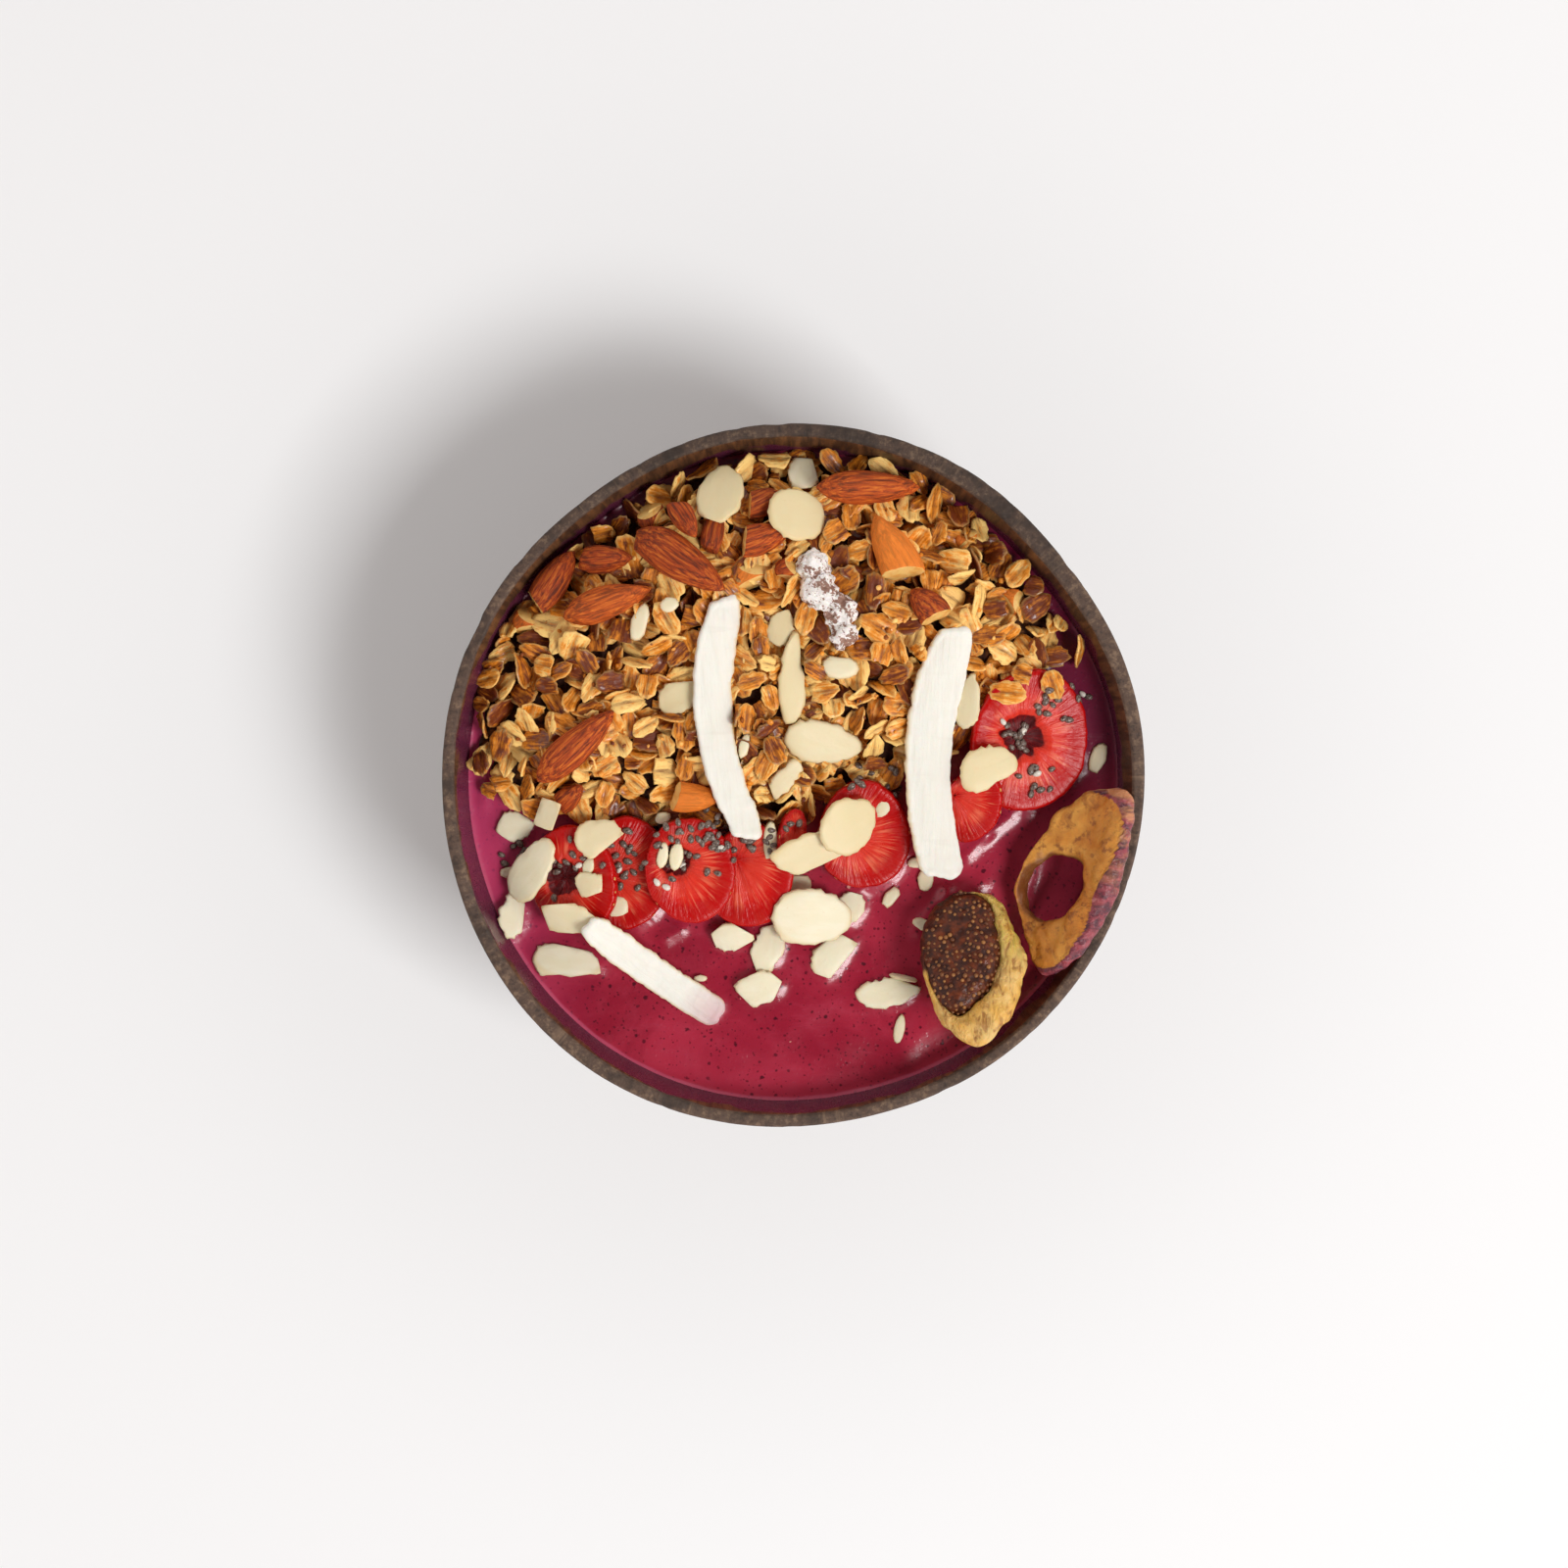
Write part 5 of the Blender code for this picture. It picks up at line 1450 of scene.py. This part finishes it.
class BOWL_OT_strawberries(bpy.types.Operator):
    """Make the strawberry slices with their streaks, hollows and pips, and the chia."""

    bl_idname = "bowl.strawberries"
    bl_label = "Strawberry Slices"

    def execute(self, context):
        looks = context.scene.bowl_berry
        pile = Pile()
        names = nodes_named("strawberry_slice")
        for seed, name in enumerate(names):
            self.make_slice(pile, name, seed)
        pile.piece("cut_strawberries", [make_berry_material(looks)], names)
        self.scatter_chia(looks)
        return {"FINISHED"}

    def make_slice(self, pile, name, seed, turns=120):
        """A slice with the outline and thickness of its solid, and finer relief."""
        points = places(frame["nodes"][name].data.vertices)
        _, axes = axes_of(points)
        along = points @ axes.T
        low, high = along.min(axis=0), along.max(axis=0)
        bottom = np.percentile(along[:, 2], 2)
        thick = np.percentile(along[:, 2], 80) - bottom
        shift_x, shift_y, hollow = HEARTS[name]
        shift = axes @ np.array((shift_x, shift_y, 0.0)) * MM
        middle = (low + high) / 2 + shift
        middle[2] = bottom + thick * 0.4
        start = Vector(middle @ axes)
        angles = np.arange(turns) * math.tau / turns
        ways = [axes[0] * math.cos(angle) + axes[1] * math.sin(angle) for angle in angles]
        reach = self.outline(name, start, ways, seed)
        bm = bmesh.new()
        rings = drawn_rings(bm, turns, len(FACE))
        values = {}
        for (share, lift), ring in zip(FACE, rings):
            for way, far, vert in zip(ways, reach, ring):
                out = far * share
                dip = 0.0
                if hollow and lift > 0.9:
                    edge = hollow * MM * (1 + 0.35 * wobble(way * 2, 0.8, seed))
                    dip = max(0.0, min(1.0, 2.6 * (1.15 - out / edge)))
                wave = 0.06 * wobble((*(way * 3)[:2], share * 2), 0.9, seed + 3)
                height = thick * (lift * (1 + wave) - 0.42 * dip - 0.4)
                vert.co = start + Vector(way * out + axes[2] * height)
                flank = 1.0 if lift < 0.85 and share > 0.6 else (share > 0.97) * 0.6
                values[vert] = (share, *(way[:2]), flank, dip)
        for ring in (rings[0], rings[-1]):
            bmesh.ops.contextual_create(bm, geom=ring)
        bmesh.ops.recalc_face_normals(bm, faces=bm.faces)
        rows = np.array([values[vert] for vert in bm.verts])
        points, faces, slots = arrays(bm)
        spoke = np.column_stack((rows[:, 1] + seed * 3.0, rows[:, 2], rows[:, 0]))
        pile.add(points, faces, slots, reach=rows[:, 0], spoke=spoke, flank=rows[:, 3],
                 hollow=rows[:, 4])

    def outline(self, name, start, ways, seed):
        """How far a solid reaches each way from its core, evened out, then made uneven."""
        tree = node_tree(name)
        reach = [tree.ray_cast(start, Vector(way))[3] for way in ways]
        reach = sum(np.roll(reach, k) for k in range(-4, 5)) / 9
        uneven = [0.02 * wobble(way * 3, 1.0, seed) + 0.014 * wobble(way * 9, 1.0, seed)
                  for way in ways]
        return reach * (1 + np.array(uneven))

    def scatter_chia(self, looks):
        """Chia seeds in clusters on the slices and beside them, not on what lies above."""
        rng = random.Random(5)
        lower = piece_tree("coconut_shell", "berry_smoothie", "granola_oats", "cut_strawberries")
        upper = [n for n in frame["nodes"] if n.startswith(("almond", "coconut_chip", "fig"))]
        covers = node_tree(*upper)
        pile = Pile()
        for x, y, spread, count in CHIA_CLUSTERS:
            for _ in range(count):
                spot = [(value + rng.gauss(0, spread * 0.6)) * MM for value in (x, y)]
                if seen_from_above(covers, *spot)[0] is not None:
                    continue
                hit, normal = seen_from_above(lower, *spot)
                bm = bmesh.new()
                bmesh.ops.create_uvsphere(bm, u_segments=10, v_segments=6, radius=1.0)
                scale = rng.uniform(0.85, 1.12)
                for vert in bm.verts:
                    taper = 1 - 0.2 * vert.co.x
                    vert.co = Vector((vert.co.x * 0.98, vert.co.y * 0.66 * taper,
                                      vert.co.z * 0.5 * taper)) * MM * scale
                spin = Matrix.Rotation(rng.uniform(0, math.tau), 3, "Z")
                tip = Matrix.Rotation(rng.uniform(-0.3, 0.3), 3, "X")
                points, faces, slots = arrays(bm)
                placed = points @ np.array(upright_on(normal) @ spin @ tip).T
                placed += np.array(hit + normal * 0.3 * MM)
                pile.add(placed, faces, slots, white=float(rng.random() < 0.07))
        pile.piece("chia_seeds", [make_chia_material(looks)])


def make_frosting_material(looks):
    """White frosting in broken patches over a reddish-brown bit of fruit."""
    web = Finish("frosting", Subsurface_Weight=0.1, Subsurface_Scale=0.001)
    patch = web.noise(380, 5.0, 0.7, None, 0.7)
    fine = web.noise(1500, 3.0, 0.6)
    ridge = web.value("ridge")
    bare = web.step(patch + (fine - 0.5) * 0.6 - ridge * 0.16, 0.5, 0.56)
    under = web.mix(web.step(fine, 0.4, 0.6), looks.frosting_speck, screen(132, 74, 44))
    colour = web.mix(bare * 0.88, looks.frosting, under)
    return web.finish(colour, 0.6, fine + patch * -1.2, 0.6 * MM, 1.0)


class BOWL_OT_frosted_cluster(bpy.types.Operator):
    """Make the white frosted cluster on the granola."""

    bl_idname = "bowl.frosted_cluster"
    bl_label = "Frosted Cluster"

    def execute(self, context):
        looks = context.scene.bowl_dried
        bm = remeshed("frosted_cluster", 0.35 * MM, 1)
        ridges = [self.crumble(vert.co) for vert in bm.verts]
        push(bm, lambda place, _normal: (1.25 * self.crumble(place) + 0.3) * MM)
        single(arrays(bm), "frosted_cluster_white", make_frosting_material(looks), "frosting",
               "frosted_cluster", ridge=ridges)
        return {"FINISHED"}

    def crumble(self, place):
        """How far a lump of frosting stands out at a place."""
        return wobble(place, 2.4 * MM, 3) + 0.5 * wobble(place, 0.9 * MM, 4)


def make_fig_materials(looks):
    """Golden wrinkled fig skin, and its dark pulp."""
    web = Finish("dried_fig_skin", Subsurface_Weight=0.15, Subsurface_Scale=0.002)
    shape = web.vector("along")
    folds = web.grain(shape, (260, 620, 300), 4.0, 0.6, 0.6)
    patch = web.noise(130, 4.0, 0.6)
    fine = web.noise(1200, 3.0, 0.6)
    colour = web.mix(web.step(patch, 0.35, 0.68), looks.fig_skin, screen(226, 186, 112))
    colour = web.mix(web.value("green") * web.step(folds, 0.3, 0.7), colour, looks.fig_green)
    colour = web.cover(colour, (folds, 0.5, 0.32, 0.85, screen(150, 90, 24)),
                       (fine, 0.6, 0.8, 0.25, screen(246, 230, 186)))
    colour = web.mix(web.value("inner"), colour, screen(76, 34, 12))
    skin = web.finish(colour, 0.34 + fine * 0.2, folds + fine * 0.12, 1.5 * MM, 1.0)
    web = Finish("dried_fig_pulp", Specular_IOR_Level=0.3, Coat_Weight=0.08)
    cloud = web.noise(500, 4.0, 0.6)
    colour = web.mix(web.step(cloud, 0.4, 0.7), looks.fig_pulp, screen(112, 48, 16))
    pulp = web.finish(colour, 0.35 + cloud * 0.2, cloud, 0.8 * MM, 0.9)
    web = Finish("fig_seed", Specular_IOR_Level=0.5)
    tint = web.value("tint")
    colour = web.mix(tint, looks.fig_seed, screen(92, 44, 16))
    seed = web.finish(colour, 0.32 + tint * 0.1)
    return skin, pulp, seed


def fig_bare(points):
    """One where the pulp comes out to the edge of the fig, on its upper left side."""
    torn = np.array([wobble(Vector(point), 2.2 * MM, 3) for point in points]) * 1.2 * MM
    brink = 32.3 * MM + (points[:, 1] + 40.4 * MM) * 0.42 + torn
    bare = np.clip((brink - points[:, 0]) / (0.5 * MM), 0, 1)
    return bare * np.clip((points[:, 1] + torn + 43 * MM) / (0.8 * MM), 0, 1)


class BOWL_OT_fig(bpy.types.Operator):
    """Make the dried fig half: folded skin, sunken pulp and its seeds."""

    bl_idname = "bowl.fig"
    bl_label = "Dried Fig"
    SEEDS_TRIED = 3400
    SEED_GAP = 1.0 * MM

    def execute(self, context):
        looks = context.scene.bowl_dried
        skin, pulp, seed = make_fig_materials(looks)
        self.make_skin(skin)
        self.make_pulp(pulp, seed)
        return {"FINISHED"}

    def make_skin(self, material):
        """The skin, with creases running across it."""
        bm = smoothed(node_copy("fig_skin"), 3)
        centre, axes = axes_of(places(bm.verts))

        def folds(place, _normal):
            local = axes @ (np.array(place) - centre)
            cross = wobble((local[0] * 1.1, local[1] * 0.6, local[2] * 0.6), 1.9 * MM, 2)
            lumps = wobble(place, 5 * MM, 7)
            return 0.5 * MM * cross + 0.75 * MM * lumps - 0.25 * MM

        push(bm, folds)
        shape = arrays(bm)
        points = shape[0]
        local = (points - centre) @ axes.T
        east = points[:, 0] - centre[0]
        north = points[:, 1] - centre[1]
        green = np.clip((east + 1 * MM) / (4 * MM), 0, 1) * np.clip(north / (6 * MM), 0, 1)
        pulp = node_tree("fig_pulp")
        gaps = np.array([pulp.find_nearest(Vector(point))[3] for point in points])
        inner = np.clip((1.9 * MM - gaps) / (0.9 * MM), 0, 1)
        inner *= np.clip((1 * MM - east) / (5 * MM), 0.2, 1)
        inner = np.maximum(inner, fig_bare(points))
        single(shape, "fig_half_skin", material, "fig_skin", "fig_skin", along=local,
               green=green * 0.8, inner=inner)

    def make_pulp(self, material, seed_material):
        """The pulp with round seeds half sunk in it."""
        bm = smoothed(node_copy("fig_pulp"), 3)
        push(bm, lambda place, normal: 0.4 * MM * wobble(place, 1.5 * MM, 4)
             + 0.5 * MM * wobble(place, 3.6 * MM, 5) + (2.2 - 1.6 * normal.z) * MM)
        shape = BVHTree.FromBMesh(bm)
        points, faces, slots = arrays(bm)
        low, high = points.min(axis=0) - 2 * MM, points.max(axis=0) + 1 * MM
        around = piece_tree("fig_half_skin")
        pile = Pile()
        pile.add(points, faces, slots, tint=0.0)
        rng = random.Random(9)
        spots = []
        for _ in range(self.SEEDS_TRIED):
            x, y = rng.uniform(low[0], high[0]), rng.uniform(low[1], high[1])
            hit, normal = seen_from_above(shape, x, y)
            if hit is None or normal.z < 0.3:
                hit, normal = seen_from_above(around, x, y)
                if hit is None or normal.z < 0.1 or fig_bare(np.array([hit]))[0] < 0.5:
                    continue
            if any((hit - other).length < self.SEED_GAP for other in spots):
                continue
            if wobble(hit, 4 * MM, 12) < -0.25:
                continue
            spots.append(hit)
            bm = bmesh.new()
            bmesh.ops.create_icosphere(bm, subdivisions=2, radius=rng.uniform(0.26, 0.5) * MM)
            bmesh.ops.translate(bm, verts=bm.verts, vec=hit - normal * 0.05 * MM)
            grain, sides, _ = arrays(bm)
            pile.add(grain, sides, [1] * len(sides), tint=rng.random())
        pile.piece("fig_half_pulp", [material, seed_material], ["fig_pulp"])


def make_apple_material(looks):
    """Dried apple: amber leathery flesh, brown at its edges, and a reddish wrinkled skin."""
    web = Finish("dried_apple", Subsurface_Weight=0.12, Subsurface_Scale=0.002)
    skin = web.value("skin")
    cloud = web.noise(95, 4.0, 0.6, None, 0.5)
    fleck = web.noise(420, 4.0, 0.65)
    fine = web.noise(1300, 3.0, 0.6)
    wrinkle = web.grain(web.vector("along"), (260, 260, 260), 4.0, 0.6, 1.0)
    flesh = web.cover(
        looks.apple,
        (cloud, 0.35, 0.68, 1, screen(216, 152, 62)),
        (fleck, 0.52, 0.68, 0.75, looks.apple_brown),
        (wrinkle, 0.42, 0.3, 0.5, looks.apple_brown))
    flesh = web.mix(web.value("border") * 0.85, flesh, screen(104, 50, 16))
    bars = web.step(web.grain(web.place, (110, 300, 110), 3.0, 0.6, 0.8), 0.42, 0.66)
    bars = bars * web.step(web.parts(web.place)[1], -0.03, -0.01)
    folds = web.grain(web.place, (300, 620, 420), 4.0, 0.6, 0.6)
    peel = web.cover(
        screen(78, 26, 42),
        (folds, 0.36, 0.62, 1, looks.apple_skin),
        (folds, 0.6, 0.72, 0.6, screen(206, 132, 134)),
        (fine, 0.55, 0.75, 0.25, screen(214, 160, 168)))
    peel = web.mix(bars * 0.75, peel, screen(214, 146, 92))
    colour = web.mix(web.step(skin + (fleck - 0.5) * 0.3, 0.4, 0.6), flesh, peel)
    height = wrinkle + fleck * 0.3 + fine * 0.1 + skin * folds * 1.4
    return web.finish(colour, 0.5 - skin * 0.2 + fine * 0.1, height, 0.8 * MM, 0.85)


class BOWL_OT_apple_ring(bpy.types.Operator):
    """Make the dried apple slice with its core hole and its skin along one edge."""

    bl_idname = "bowl.apple_ring"
    bl_label = "Dried Apple"
    SECTORS = 90

    def execute(self, context):
        looks = context.scene.bowl_dried
        bm = smoothed(node_copy("apple_ring"), 3)
        centre, axes = axes_of(places(bm.verts))
        push(bm, lambda place, normal: 0.4 * MM * wobble(place, 2.0 * MM, 5)
             + 0.7 * MM * wobble(place, 5 * MM, 6) - 0.25 * MM)
        bm.normal_update()
        tilts = np.array([abs(axes[2] @ np.array(vert.normal)) for vert in bm.verts])
        shape = arrays(bm)
        points = shape[0]
        local = (points - centre) @ axes.T
        flat = points[:, :2] - centre[:2]
        reach = np.hypot(flat[:, 0], flat[:, 1])
        turn = np.arctan2(flat[:, 1], flat[:, 0]) / math.tau % 1
        sector = (turn * self.SECTORS).astype(int) % self.SECTORS
        outline = np.array([reach[sector == k].max(initial=0.0) for k in range(self.SECTORS)])
        outline = (outline + np.roll(outline, 1) + np.roll(outline, -1)) / 3
        side = (flat @ np.array((0.95, -0.3))) / np.maximum(reach, MM)
        width = 4.9 * MM * np.clip(side * 2.4 + 0.35, 0, 1)
        skin = np.clip(0.5 + (width - (outline[sector] - reach)) / (1.6 * MM), 0, 1)
        single(shape, "apple_slice", make_apple_material(looks), "apple", "apple_ring",
               along=local, skin=skin, border=np.clip((0.9 - tilts) / 0.35, 0, 1))
        return {"FINISHED"}


def make_floor_material(looks):
    """Matt pale floor with the faintest mottle."""
    web = Finish("studio_floor", Roughness=0.9, Specular_IOR_Level=0.1)
    mottle = web.noise(3.0, 3.0, 0.5)
    return web.finish(web.shade(looks.floor, 0.985 + mottle * 0.02))


class BOWL_OT_stage(bpy.types.Operator):
    """Set the floor, the lights and the camera straight above the bowl."""

    bl_idname = "bowl.stage"
    bl_label = "Studio"

    def execute(self, context):
        looks = context.scene.bowl_stage
        bm = bmesh.new()
        bmesh.ops.create_circle(bm, cap_ends=True, segments=64, radius=3.0)
        bmesh.ops.translate(bm, verts=bm.verts, vec=Vector((0, 0, -0.2 * MM)))
        mesh = bpy.data.meshes.new("studio_floor")
        bm.to_mesh(mesh)
        bm.free()
        mesh.materials.append(make_floor_material(looks))
        floor = linked("studio_floor", mesh)
        self.add_key_light(looks)
        self.add_camera(context, looks)
        self.add_sky(context, looks)
        context.scene.view_settings.view_transform = "Standard"
        return {"FINISHED"}

    def add_sky(self, context, looks):
        """Even light from all round, dim straight overhead so that gloss stays deep."""
        world = bpy.data.worlds.new("studio_sky")
        sky = Web(world)
        back = sky.tree.nodes["Background"]
        way = sky.add("ShaderNodeTexCoord").outputs["Generated"]
        height = sky.parts(way)[2]
        sky.feed(back.inputs["Color"], (1.0, 0.962, 0.945))
        sky.feed(back.inputs["Strength"], (1 - sky.step(height, 0.5, 0.88) * 0.94) * looks.sky)
        context.scene.world = world

    def add_key_light(self, looks):
        """A soft square lamp at the lower right, pointed at the bowl."""
        data = bpy.data.lights.new("key", "AREA")
        data.energy = looks.key
        data.size = 0.86
        data.color = (0.985, 1.0, 1.005)
        lamp = linked("key", data)
        lamp.location = (1.26, -0.94, 2.1)
        way = Vector((0, 0, 0.03)) - lamp.location
        lamp.rotation_euler = way.to_track_quat("-Z", "Y").to_euler()

    def add_camera(self, context, looks):
        """The camera looks straight down, a little to the lower left of the bowl's axis."""
        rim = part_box("coconut_bowl")[1].z
        rim_width = 0.150
        seen_share = 721 / 1600
        off_axis = 10 / 721 * rim_width
        distance = looks.camera_height - rim
        data = bpy.data.cameras.new("camera")
        data.sensor_fit = "HORIZONTAL"
        data.angle = 2 * math.atan(rim_width / seen_share / 2 / distance)
        camera = linked("camera", data)
        camera.location = (-off_axis, -off_axis, looks.camera_height)
        context.scene.camera = camera


LOOKS = {
    "bowl_shell": ShellLooks, "bowl_smoothie": SmoothieLooks, "bowl_granola": GranolaLooks,
    "bowl_almond": AlmondLooks, "bowl_berry": BerryLooks, "bowl_dried": DriedLooks,
    "bowl_stage": StageLooks,
}
OPERATORS = (
    BOWL_OT_stage, BOWL_OT_shell, BOWL_OT_smoothie, BOWL_OT_granola, BOWL_OT_almonds,
    BOWL_OT_almond_flakes, BOWL_OT_coconut_chips, BOWL_OT_strawberries,
    BOWL_OT_frosted_cluster, BOWL_OT_fig, BOWL_OT_apple_ring,
)


class BOWL_PT_panel(bpy.types.Panel):
    """Lists the steps that dress the bowl, and the values they read."""

    bl_label = "Smoothie Bowl"
    bl_idname = "BOWL_PT_panel"
    bl_space_type = "VIEW_3D"
    bl_region_type = "UI"
    bl_category = "Smoothie Bowl"

    def draw(self, context):
        """Draw each step as a button, then each group of values."""
        for operator in OPERATORS:
            self.layout.operator(operator.bl_idname)
        for name, group in LOOKS.items():
            box = self.layout.box()
            box.label(text=group.__doc__)
            for key in group.__annotations__:
                box.prop(getattr(context.scene, name), key)


def register():
    """Register the classes and hang their values on the scene."""
    for group in LOOKS.values():
        bpy.utils.register_class(group)
    for name, group in LOOKS.items():
        setattr(bpy.types.Scene, name, PointerProperty(type=group))
    for item in (*OPERATORS, BOWL_PT_panel):
        bpy.utils.register_class(item)


def unregister():
    """Take everything back."""
    for item in (BOWL_PT_panel, *reversed(OPERATORS)):
        bpy.utils.unregister_class(item)
    for name, group in LOOKS.items():
        delattr(bpy.types.Scene, name)
        bpy.utils.unregister_class(group)


def main():
    register()
    for operator in OPERATORS:
        step = getattr(bpy.ops.bowl, operator.bl_idname.split(".")[1])
        step()


if __name__ == "__main__":
    main()
